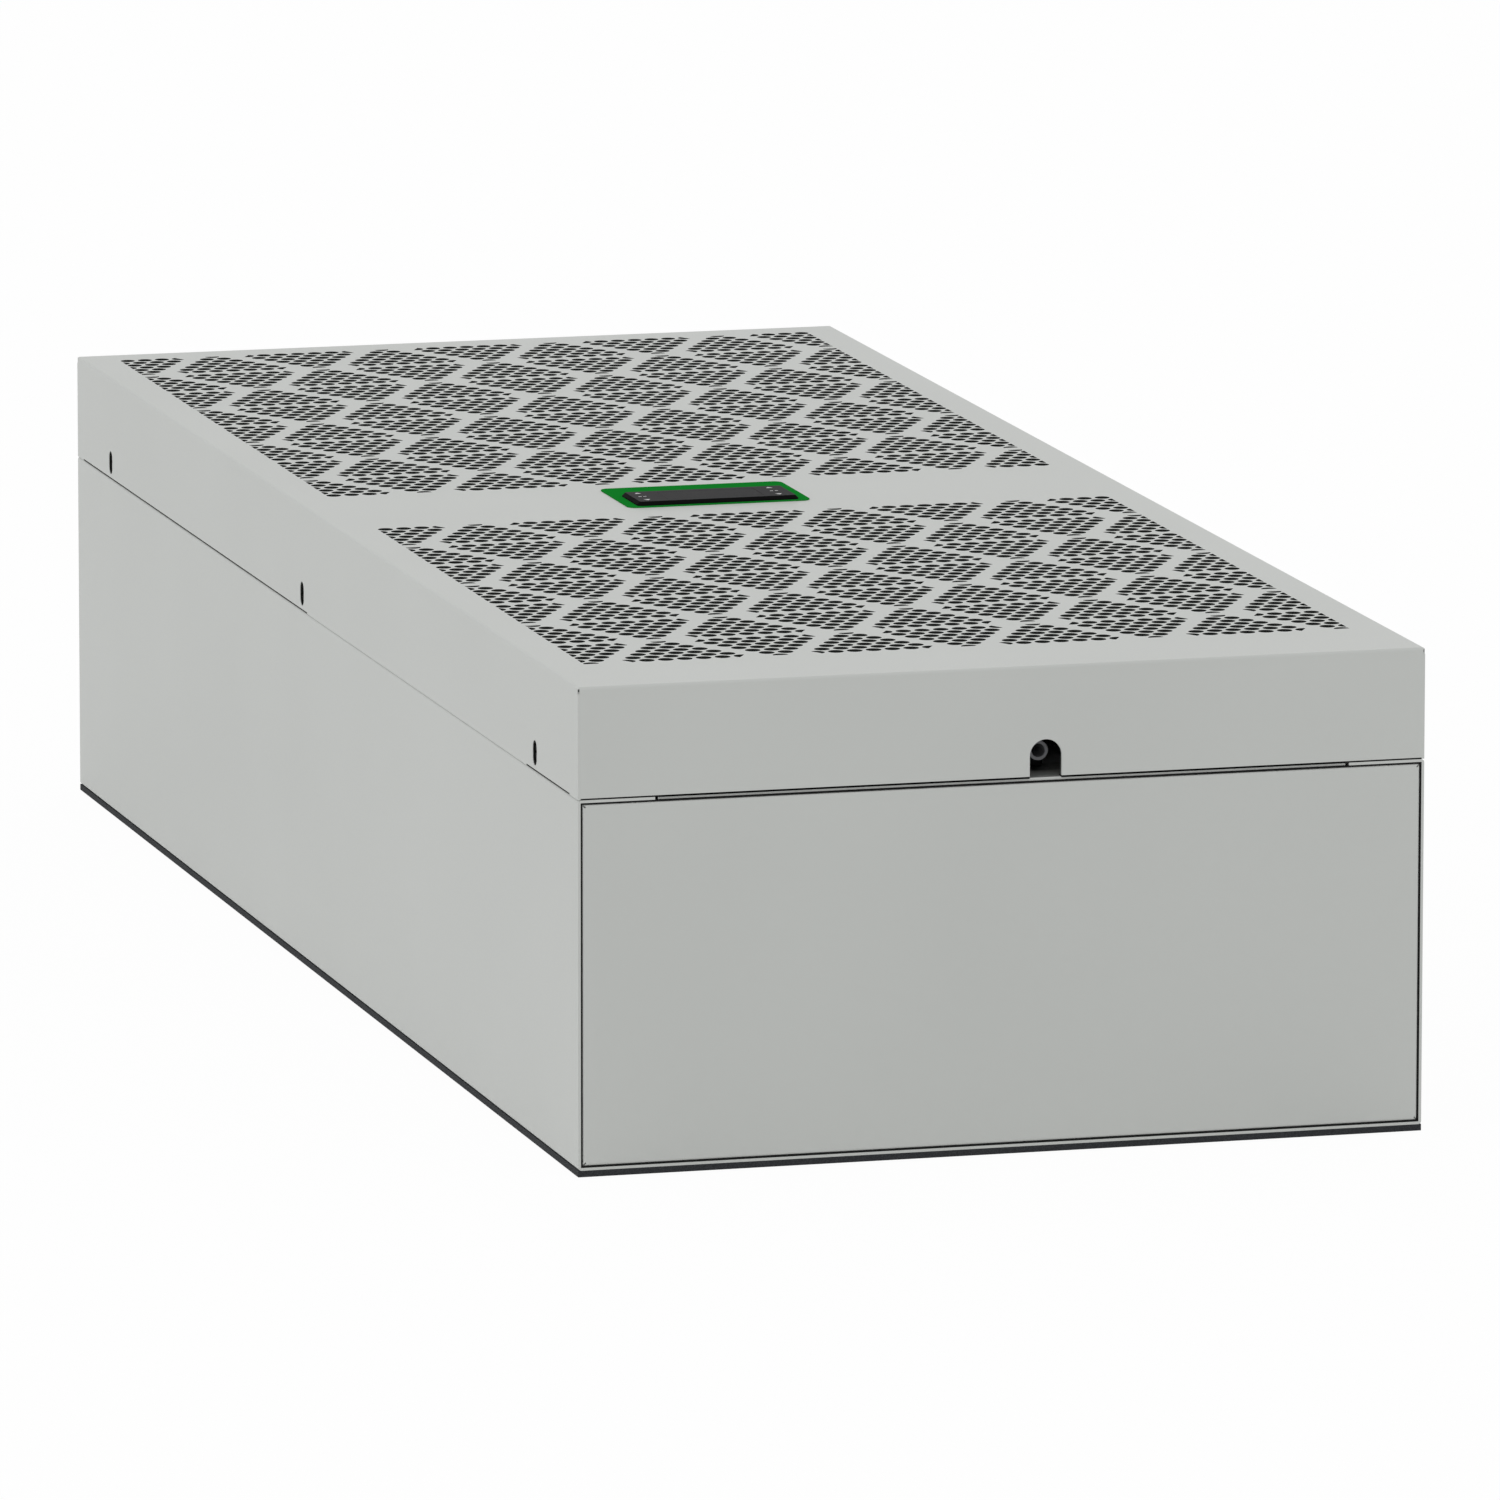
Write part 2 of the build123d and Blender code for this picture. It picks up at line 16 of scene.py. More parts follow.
import bmesh
import bpy
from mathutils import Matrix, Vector

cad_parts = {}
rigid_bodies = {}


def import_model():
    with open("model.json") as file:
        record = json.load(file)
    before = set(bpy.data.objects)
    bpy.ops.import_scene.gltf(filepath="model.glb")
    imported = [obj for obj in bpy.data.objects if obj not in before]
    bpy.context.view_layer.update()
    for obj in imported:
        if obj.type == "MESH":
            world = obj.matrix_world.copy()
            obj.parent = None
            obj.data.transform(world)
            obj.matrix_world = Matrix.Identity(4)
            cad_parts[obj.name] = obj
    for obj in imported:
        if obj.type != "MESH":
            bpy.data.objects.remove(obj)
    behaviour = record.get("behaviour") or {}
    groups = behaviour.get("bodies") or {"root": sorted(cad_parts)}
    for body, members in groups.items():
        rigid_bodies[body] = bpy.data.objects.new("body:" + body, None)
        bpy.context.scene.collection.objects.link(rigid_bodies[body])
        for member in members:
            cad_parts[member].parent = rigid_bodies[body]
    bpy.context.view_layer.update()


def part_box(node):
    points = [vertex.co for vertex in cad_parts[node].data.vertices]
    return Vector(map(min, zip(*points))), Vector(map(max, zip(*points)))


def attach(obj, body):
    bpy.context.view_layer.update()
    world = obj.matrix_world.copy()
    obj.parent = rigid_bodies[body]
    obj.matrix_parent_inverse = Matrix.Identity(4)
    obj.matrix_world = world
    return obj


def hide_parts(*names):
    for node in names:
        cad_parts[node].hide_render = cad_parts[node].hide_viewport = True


LOG = logging.getLogger("cooling_unit")
BODY = "root"
MM = 0.001
TOUCH = 0.005
AXIS = 0.001
PATTERN_SPAN = (0.3, 0.7)

Piece = bpy.types.Object
Triple = tuple[float, float, float]
Pair = tuple[float, float]


class Slot(Enum):
    """Material slots of the part's record."""

    PAINT = "housing_paint"
    FOAM = "gasket_foam"
    ZINC = "zinc_sheet"
    HARDWARE = "zinc_hardware"
    DISPLAY = "display_plastic"
    FINS = "fin_aluminium"
    COPPER = "copper_tube"
    CASTING = "motor_casting"
    FAN = "fan_plastic"
    DRAIN = "drain_plastic"


class Part(Enum):
    """Kinds of mesh element that can be selected."""

    VERTEX = "verts"
    EDGE = "edges"
    FACE = "faces"


class TileEdge(Enum):
    """Where a tile of holes stands in its row."""

    LEFT = -1
    INNER = 0
    RIGHT = 1


# Modelling tools


def pick_only(*pieces: Piece) -> None:
    """Select these pieces alone and make the first one active."""
    bpy.ops.object.select_all(action="DESELECT")
    for piece in pieces:
        piece.select_set(True)
    bpy.context.view_layer.objects.active = pieces[0]


@contextmanager
def editing(piece: Piece) -> Iterator[None]:
    """Hold a piece in edit mode with nothing selected.

    Args:
        piece: The mesh object to edit.
    """
    pick_only(piece)
    bpy.ops.object.mode_set(mode="EDIT")
    bpy.ops.mesh.select_all(action="DESELECT")
    yield
    bpy.ops.object.mode_set(mode="OBJECT")


def choose(piece: Piece, part: Part, test: Callable[..., bool]) -> int:
    """Select the elements of an edited piece that pass a test, and nothing else.

    Args:
        piece: The mesh object in edit mode.
        part: The kind of element.
        test: Says whether one element is chosen.

    Returns:
        How many elements were chosen.
    """
    bpy.context.tool_settings.mesh_select_mode = tuple(part is kind for kind in Part)
    bpy.ops.mesh.select_all(action="DESELECT")
    shape = bmesh.from_edit_mesh(piece.data)
    chosen = [item for item in getattr(shape, part.value) if test(item)]
    for item in chosen:
        item.select_set(True)
    shape.select_flush_mode()
    bmesh.update_edit_mesh(piece.data)
    return len(chosen)


def all_corners(item: bmesh.types.BMEdge, test: Callable[[Vector], bool]) -> bool:
    """Say whether all corners of an edge pass a test."""
    return all(test(corner.co) for corner in item.verts)


def everything() -> None:
    """Select all of the edited mesh."""
    bpy.ops.mesh.select_all(action="SELECT")


def pull(step: Sequence[float]) -> None:
    """Extrude what is chosen in the edited mesh by a step."""
    bpy.ops.mesh.extrude_region_move(TRANSFORM_OT_translate={"value": step})


def settle(piece: Piece) -> None:
    """Bake a piece's place, turn and scale into its mesh."""
    pick_only(piece)
    bpy.ops.object.transform_apply(location=True, rotation=True, scale=True)


def copy_of(piece: Piece) -> Piece:
    """Return a copy of a piece with a mesh of its own."""
    pick_only(piece)
    bpy.ops.object.duplicate()
    return bpy.context.active_object


def joined(pieces: Sequence[Piece]) -> Piece:
    """Return several pieces as one, at the origin."""
    pick_only(*pieces)
    if len(pieces) > 1:
        bpy.ops.object.join()
    settle(bpy.context.active_object)
    return bpy.context.active_object


def discard(*pieces: Piece) -> None:
    """Remove pieces that were only patterns or cutters."""
    for piece in pieces:
        bpy.data.meshes.remove(piece.data)


def weld(piece: Piece, distance: float = TOUCH) -> None:
    """Merge doubled vertices and turn all faces outwards."""
    with editing(piece):
        everything()
        bpy.ops.mesh.remove_doubles(threshold=distance)
        bpy.ops.mesh.delete_loose(use_verts=True, use_edges=True, use_faces=False)
        everything()
        bpy.ops.mesh.normals_make_consistent(inside=False)


def extent(node: str) -> list[Vector]:
    """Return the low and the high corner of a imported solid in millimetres."""
    return [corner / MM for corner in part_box(node)]


def added(
    operator: Callable[..., object],
    scale: Triple = (1, 1, 1),
    place: Triple = (0, 0, 0),
    **values: object,
) -> Piece:
    """Add a primitive and bake its place, turn and scale into its mesh.

    Args:
        operator: The operator that adds it.
        scale: Its scale along the axes.
        place: Its middle.
        values: The operator's own settings.

    Returns:
        The new object.
    """
    operator(**values)
    piece = bpy.context.active_object
    piece.scale, piece.location = scale, place
    settle(piece)
    return piece


def box(size: Triple, centre: Triple) -> Piece:
    """Return a block of these lengths round this middle."""
    return added(bpy.ops.mesh.primitive_cube_add, size, centre, size=1)


def rod(
    radius: float, height: float, centre: Triple, sides: int = 32, turn: Triple = (0, 0, 0)
) -> Piece:
    """Return a round bar.

    Args:
        radius: Its radius.
        height: Its length along its own axis, which is Z before it is turned.
        centre: Its middle.
        sides: How many flat sides it has.
        turn: Its turn about the axes in radians.

    Returns:
        The new object.
    """
    return added(
        bpy.ops.mesh.primitive_cylinder_add,
        place=centre,
        vertices=sides,
        radius=radius,
        depth=height,
        rotation=turn,
    )


def traced(points: Sequence[Triple], closed: bool = True) -> Piece:
    """Return a line drawn through points by extruding one vertex from each to the next.

    Args:
        points: The corners of the line.
        closed: Whether the last point is joined to the first.

    Returns:
        The new object, edges only.
    """
    piece = added(bpy.ops.mesh.primitive_plane_add, size=1)
    bpy.context.tool_settings.mesh_select_mode = (True, False, False)
    with editing(piece):
        everything()
        bpy.ops.mesh.merge(type="CENTER")
        bpy.ops.transform.translate(value=points[0])
        for before, after in zip(points, points[1:]):
            step = tuple(b - a for a, b in zip(before, after))
            bpy.ops.mesh.extrude_vertices_move(TRANSFORM_OT_translate={"value": step})
        if closed:
            ends = (Vector(points[0]), Vector(points[-1]))
            choose(
                piece, Part.VERTEX, lambda tip: any((tip.co - end).length < TOUCH for end in ends)
            )
            bpy.ops.mesh.edge_face_add()
    return piece


def turned(
    profile: Sequence[Pair], centre: Triple, steps: int = 48, axis: Triple = (0, 0, 1)
) -> Piece:
    """Return a closed profile spun round an axis.

    Args:
        profile: Radius and height of each corner of the section.
        centre: The point on the axis where height is nought.
        steps: How many flat sides the ring has.
        axis: Z, or -Y for a part that points to the near end.

    Returns:
        The new object.
    """
    upright = axis[2] != 0
    points = [
        (centre[0] + radius, centre[1], centre[2] + height)
        if upright
        else (centre[0] + radius, centre[1] - height, centre[2])
        for radius, height in profile
    ]
    piece = traced(points)
    with editing(piece):
        everything()
        bpy.ops.mesh.spin(steps=steps, angle=2 * math.pi, center=centre, axis=axis)
    weld(piece)
    return piece


def prism(outline: Sequence[Triple], depth: Triple) -> Piece:
    """Return a flat outline pulled into a solid.

    Args:
        outline: The corners of the flat shape.
        depth: How far and which way it is pulled.

    Returns:
        The new object.
    """
    piece = traced(outline)
    with editing(piece):
        everything()
        bpy.ops.mesh.edge_face_add()
        pull(depth)
    weld(piece)
    return piece


def modified(piece: Piece, kind: str, **values: object) -> Piece:
    """Apply a modifier to a piece.

    Args:
        piece: The mesh object.
        kind: The modifier's type.
        values: Its settings.

    Returns:
        The same object.
    """
    modifier = piece.modifiers.new(kind.title(), kind)
    for name, value in values.items():
        setattr(modifier, name, value)
    pick_only(piece)
    bpy.ops.object.modifier_apply(modifier=modifier.name)
    return piece


def bevelled(piece: Piece, width: float, segments: int = 2, angle: float = 40) -> Piece:
    """Round the sharp edges of a piece.

    Args:
        piece: The mesh object.
        width: How far the rounding reaches.
        segments: How many strips it has.
        angle: Degrees above which an edge is rounded.

    Returns:
        The same object.
    """
    limit = math.radians(angle)
    return modified(
        piece, "BEVEL", width=width, segments=segments, limit_method="ANGLE", angle_limit=limit
    )


def combined(piece: Piece, tool: Piece, operation: str) -> Piece:
    """Combine a piece with a tool solid and throw the tool away.

    Args:
        piece: The piece that stays.
        tool: The solid that is used up.
        operation: DIFFERENCE or INTERSECT.

    Returns:
        The same piece.
    """
    modified(piece, "BOOLEAN", operation=operation, object=tool, solver="EXACT")
    discard(tool)
    return piece


def cut(piece: Piece, *cutters: Piece) -> Piece:
    """Cut other solids out of a piece and throw them away."""
    for cutter in cutters:
        combined(piece, cutter, "DIFFERENCE")
    return piece


def fan_of(blade: Piece, count: int, y: float) -> list[Piece]:
    """Return copies of a blade set evenly round an upright axis, and throw the pattern away.

    Args:
        blade: The pattern, modelled round the origin.
        count: How many blades the fan has.
        y: The axis' place along the unit.

    Returns:
        The blades.
    """
    blades = []
    for number in range(count):
        made = copy_of(blade)
        made.rotation_euler, made.location = (0, 0, 2 * math.pi * number / count), (0, y, 0)
        settle(made)
        blades.append(made)
    discard(blade)
    return blades


def smooth(piece: Piece, angle: float = 35) -> None:
    """Shade a piece smooth across edges flatter than an angle in degrees."""
    pick_only(piece)
    bpy.ops.object.shade_smooth_by_angle(angle=math.radians(angle))


# Finishes


class Sheet:
    """Node tree of one new material, with its surface shader."""

    def __init__(self, name: str) -> None:
        """Start a material.

        Args:
            name: The material's name.
        """
        self.material = bpy.data.materials.new(name)
        self.material.use_nodes = True
        self.tree = self.material.node_tree
        self.shader = self.tree.nodes["Principled BSDF"]
        self.place = self.node("ShaderNodeTexCoord").outputs["Object"]

    def node(self, kind: str, **values: object) -> bpy.types.Node:
        """Add a node.

        Args:
            kind: Its type name.
            values: Values of its settings, or of its inputs where no setting has that name.

        Returns:
            The new node.
        """
        made = self.tree.nodes.new(kind)
        for name, value in values.items():
            if hasattr(made, name):
                setattr(made, name, value)
            else:
                made.inputs[name.replace("_", " ").title()].default_value = value
        return made

    def link(self, source: bpy.types.NodeSocket, target: bpy.types.NodeSocket) -> None:
        """Join an output to an input."""
        self.tree.links.new(source, target)

    def set(self, **values: object) -> None:
        """Set plain values on the surface shader's own sockets."""
        for name, value in values.items():
            self.shader.inputs[name.replace("_", " ")].default_value = value

    def noise(
        self, size: float, detail: float = 2, stretch: Triple = (1, 1, 1)
    ) -> bpy.types.NodeSocket:
        """Add a noise pattern.

        Args:
            size: Width of a grain in millimetres.
            detail: How many finer layers it has.
            stretch: How much denser the pattern is along each axis.

        Returns:
            Its value output.
        """
        mapping = self.node("ShaderNodeMapping")
        mapping.inputs["Scale"].default_value = stretch
        self.link(self.place, mapping.inputs["Vector"])
        noise = self.node("ShaderNodeTexNoise", scale=1 / (size * MM), detail=detail)
        self.link(mapping.outputs["Vector"], noise.inputs["Vector"])
        return noise.outputs["Fac"]

    def tint(self, fac: bpy.types.NodeSocket, colour: Triple, low: float, high: float) -> None:
        """Colour the surface between two shades of one colour.

        Args:
            fac: The pattern.
            colour: The middle colour.
            low: Its share where the pattern is weak.
            high: Its share where the pattern is strong.
        """
        ramp = self.node("ShaderNodeValToRGB")
        for stop, place, share in zip(ramp.color_ramp.elements, PATTERN_SPAN, (low, high)):
            stop.position, stop.color = place, (*(channel * share for channel in colour), 1)
        self.link(fac, ramp.inputs["Fac"])
        self.link(ramp.outputs["Color"], self.shader.inputs["Base Color"])

    def roughen(self, fac: bpy.types.NodeSocket, low: float, high: float) -> None:
        """Vary the roughness between two values."""
        first, last = PATTERN_SPAN
        spread = self.node(
            "ShaderNodeMapRange", from_min=first, from_max=last, to_min=low, to_max=high
        )
        self.link(fac, spread.inputs["Value"])
        self.link(spread.outputs["Result"], self.shader.inputs["Roughness"])

    def emboss(self, height: bpy.types.NodeSocket, depth: float) -> None:
        """Raise the surface by a pattern, up to a depth in millimetres."""
        bump = self.node("ShaderNodeBump", distance=depth * MM, strength=1)
        self.link(height, bump.inputs["Height"])
        self.link(bump.outputs["Normal"], self.shader.inputs["Normal"])

    def cells(self, size: float) -> bpy.types.Node:
        """Add a pattern of cells of a width in millimetres."""
        cells = self.node("ShaderNodeTexVoronoi", scale=1 / (size * MM))
        self.link(self.place, cells.inputs["Vector"])
        return cells


@dataclass(frozen=True)
class Finish:
    """What a surface is made of, with the skin that its kind gives it.

    Attributes:
        name: The material's name.
        colour: Its linear colour.
    """

    name: str
    colour: Triple

    @cache
    def material(self) -> bpy.types.Material:
        """Return the finish as a material, made once."""
        sheet = Sheet(self.name)
        self.lay(sheet)
        return sheet.material

    def lay(self, sheet: Sheet) -> None:
        """Set up the nodes of the finish, which each kind does its own way."""
        raise NotImplementedError


@dataclass(frozen=True)
class Coating(Finish):
    """Powder coat or moulded plastic: one colour with a fine skin.

    Attributes:
        roughness: Its middle roughness.
        grain: Width of its skin's grain in millimetres.
        relief: Height of the grain in millimetres.
        drift: Share by which its colour varies over the part.
        metallic: How much of it is bare metal.
        gloss: Strength of its reflections, 0.5 for a plain lacquer.
        cloud: Width of one patch of the colour's drift in millimetres.
        unevenness: How far the roughness strays from its middle.
    """

    roughness: float = 0.45
    grain: float = 0.9
    relief: float = 0.02
    drift: float = 0.02
    metallic: float = 0.0
    gloss: float = 0.5
    cloud: float = 120
    unevenness: float = 0.04

    def lay(self, sheet: Sheet) -> None:
        """Set up a grained skin over a colour that drifts a little."""
        sheet.set(Metallic=self.metallic, Specular_IOR_Level=self.gloss)
        broad = sheet.noise(self.cloud, 1)
        fine = sheet.noise(self.grain, 2)
        sheet.tint(broad, self.colour, 1 - self.drift, 1 + self.drift)
        sheet.roughen(fine, self.roughness - self.unevenness, self.roughness + self.unevenness)
        sheet.emboss(fine, self.relief)


@dataclass(frozen=True)
class Galvanised(Finish):
    """Zinc-coated sheet with faint crystals.

    Attributes:
        crystal: Width of one crystal in millimetres.
        metallic: How much of it is bare metal.
        shades: Shares of the colour that the darkest and the palest crystal have.
        roughness: Roughness of the glossiest and the dullest crystal.
        grain: Width of the surface's grain in millimetres.
        relief: Height of the grain in millimetres.
    """

    crystal: float = 9.0
    metallic: float = 0.6
    shades: Pair = (0.9, 1.08)
    roughness: Pair = (0.38, 0.52)
    grain: float = 0.7
    relief: float = 0.01

    def lay(self, sheet: Sheet) -> None:
        """Set up crystals of slightly different greys and gloss."""
        sheet.set(Metallic=self.metallic)
        cells = sheet.cells(self.crystal)
        grey = sheet.node("ShaderNodeRGBToBW")
        sheet.link(cells.outputs["Color"], grey.inputs["Color"])
        sheet.tint(grey.outputs["Val"], self.colour, *self.shades)
        sheet.roughen(grey.outputs["Val"], *self.roughness)
        sheet.emboss(sheet.noise(self.grain), self.relief)


@dataclass(frozen=True)
class Foam(Finish):
    """Closed-cell foam strip: matt, with small open cells on its cut faces.

    Attributes:
        cell: Width of one cell in millimetres.
        roughness: How matt it is.
        gloss: Strength of its reflections.
        shades: Shares of the colour at a cell's middle and at its wall; the darker middle is
            painted shade in the pit.
        relief: Depth of a cell in millimetres.
    """

    cell: float = 0.45
    roughness: float = 0.92
    gloss: float = 0.25
    shades: Pair = (0.7, 1.25)
    relief: float = 0.12

    def lay(self, sheet: Sheet) -> None:
        """Set up matt cells with pits darkened by painted shade."""
        sheet.set(Roughness=self.roughness, Specular_IOR_Level=self.gloss)
        pits = sheet.cells(self.cell).outputs["Distance"]
        # Painted shade: the sunken middle of each cell is darker than its wall.
        sheet.tint(pits, self.colour, *self.shades)
        sheet.emboss(pits, self.relief)


@dataclass(frozen=True)
class Drawn(Finish):
    """Bare metal with fine lines along one way.

    Attributes:
        stretch: How much denser the lines are along each axis.
        roughness: Its middle roughness.
        metallic: How much of it is bare metal.
        line: Width of one line in millimetres.
        stain: Width of one patch of its stain in millimetres.
        detail: How many finer layers both patterns have.
        shades: Shares of the colour where the stain's pattern is weak and where it is strong.
        unevenness: How far the roughness falls below its middle and rises above it.
        relief: Height of the lines in millimetres.
    """

    stretch: Triple = (1, 0.05, 1)
    roughness: float = 0.35
    metallic: float = 0.95
    line: float = 0.4
    stain: float = 18
    detail: float = 3
    shades: Pair = (0.85, 1.1)
    unevenness: Pair = (0.07, 0.1)
    relief: float = 0.01

    def lay(self, sheet: Sheet) -> None:
        """Set up fine lines over a faint stain."""
        sheet.set(Metallic=self.metallic)
        lines = sheet.noise(self.line, self.detail, self.stretch)
        stain = sheet.noise(self.stain, self.detail)
        below, above = self.unevenness
        sheet.tint(stain, self.colour, *self.shades)
        sheet.roughen(lines, self.roughness - below, self.roughness + above)
        sheet.emboss(lines, self.relief)


@dataclass(frozen=True)
class Finishes:
    """Every finish of the unit."""

    paint: Coating = Coating(
        "light_grey_powder_coat", (0.539, 0.555, 0.535), 0.46, 0.9, 0.008, 0.012
    )
    # Painted shade: near-black hole walls and field underside stand for the shade inside the holes.
    hole_wall_shade: Coating = Coating(
        "painted_shade_hole_walls", (0.03, 0.032, 0.03), 0.8, 0.9, 0.01, 0.03, 0, 0.05
    )
    foam: Foam = Foam("black_gasket_foam", (0.03, 0.032, 0.035))
    # Painted shade: near-black strips set in the seams, reliefs and corner notches so the gaps read
    # dark.
    seam_shade: Foam = Foam("black_seam_shade_strip", (0.006, 0.006, 0.006), 0.6)
    zinc: Galvanised = Galvanised("galvanised_sheet", (0.3, 0.31, 0.32))
    # Painted shade: zinc at half its colour, standing for the shade under the cover.
    inner: Galvanised = Galvanised("inner_sheet_painted_shade", (0.16, 0.165, 0.165), 9.0, 0.3)
    # Painted shade: deck zinc darkened to stand for the shade inside the unit.
    deck: Galvanised = Galvanised("deck_sheet_painted_shade", (0.08, 0.082, 0.082), 9.0, 0.3)
    # Painted shade: the paint at half its colour, for the cap legs that reach into the dark under
    # the cover.
    cap_leg_shade: Coating = Coating(
        "cap_leg_painted_shade", (0.27, 0.278, 0.268), 0.6, 0.9, 0.008, 0.04, 0, 0.2
    )
    hardware: Drawn = Drawn("zinc_plated_hardware", (0.5, 0.51, 0.52), (1, 1, 0.1))
    green: Coating = Coating(
        "green_bezel_film", (0.008, 0.215, 0.024), 0.7, 0.6, 0.004, 0.03, 0.0, 0.0
    )
    case: Coating = Coating(
        "black_display_moulding", (0.005, 0.005, 0.005), 0.7, 0.5, 0.006, 0.1, gloss=0.02
    )
    pane: Coating = Coating(
        "dark_display_face", (0.034, 0.034, 0.035), 0.65, 0.8, 0.002, 0.04, 0, 0.03
    )
    marks: Coating = Coating("white_key_marks", (0.6, 0.6, 0.6), 0.5, 0.5, 0.002, 0.03)
    # Painted shade: near-black fins stand for the shade inside the unit.
    fins: Drawn = Drawn("fin_stock_painted_shade", (0.05, 0.052, 0.054), (1, 1, 0.06), 0.5, 0.2)
    copper: Drawn = Drawn("copper_pipe", (0.42, 0.2, 0.11), (1, 1, 1), 0.38)
    casting: Coating = Coating(
        "cast_motor_housing", (0.12, 0.12, 0.125), 0.55, 1.2, 0.06, 0.08, 0.5
    )
    fan: Coating = Coating(
        "black_fan_moulding", (0.025, 0.025, 0.026), 0.48, 0.8, 0.02, 0.1, 0.0, 0.4
    )
    drain: Coating = Coating(
        "grey_drain_pipe", (0.26, 0.262, 0.275), 0.5, 0.8, 0.015, 0.06, 0.0, 0.3
    )
    block: Coating = Coating("black_drain_block", (0.02, 0.02, 0.021), 0.6, 0.8, 0.02, 0.08, 0, 0.1)
    # Painted shade: a near-black liner that makes each slot read dark.
    plug: Coating = Coating(
        "slot_liner_painted_shade", (0.012, 0.013, 0.012), 0.8, 0.6, 0.02, 0.1, 0.0, 0.02
    )
    wire: Coating = Coating("black_coated_wire", (0.03, 0.03, 0.03), 0.4, 1.5, 0.01, 0.1)


FINISH = Finishes()


def dress(finish: Finish, *nodes: str) -> None:
    """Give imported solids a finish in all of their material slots."""
    for node in nodes:
        for slot in bpy.data.objects[node].material_slots:
            slot.material = finish.material()
        LOG.info("dressed %s with %s", node, finish.name)


def hand_over(
    piece: Piece,
    name: str,
    finish: Finish,
    stands_for: Sequence[str] = (),
    angle: float = 35,
) -> Piece:
    """Scale a finished piece to metres, name it, dress it and let it ride on the unit.

    Args:
        piece: The piece in millimetres.
        name: Its name.
        finish: What it is covered with.
        stands_for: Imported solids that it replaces.
        angle: Degrees above which an edge stays sharp.

    Returns:
        The same object.
    """
    smooth(piece, angle)
    piece.scale = (MM, MM, MM)
    settle(piece)
    piece.name = piece.data.name = name
    piece.data.materials.clear()
    piece.data.materials.append(finish.material())
    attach(piece, BODY)
    if stands_for:
        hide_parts(*stands_for)
    LOG.info("built %s, %d faces", name, len(piece.data.polygons))
    return piece


def refinish(piece: Piece, finish: Finish, test: Callable[[bmesh.types.BMFace], bool]) -> None:
    """Give some faces of a finished piece a second finish.

    Args:
        piece: The piece, in metres.
        finish: What the faces are covered with.
        test: Says whether a face is one of them.
    """
    piece.data.materials.append(finish.material())
    with editing(piece):
        choose(piece, Part.FACE, test)
        piece.active_material_index = 1
        bpy.ops.object.material_slot_assign()


# Cover


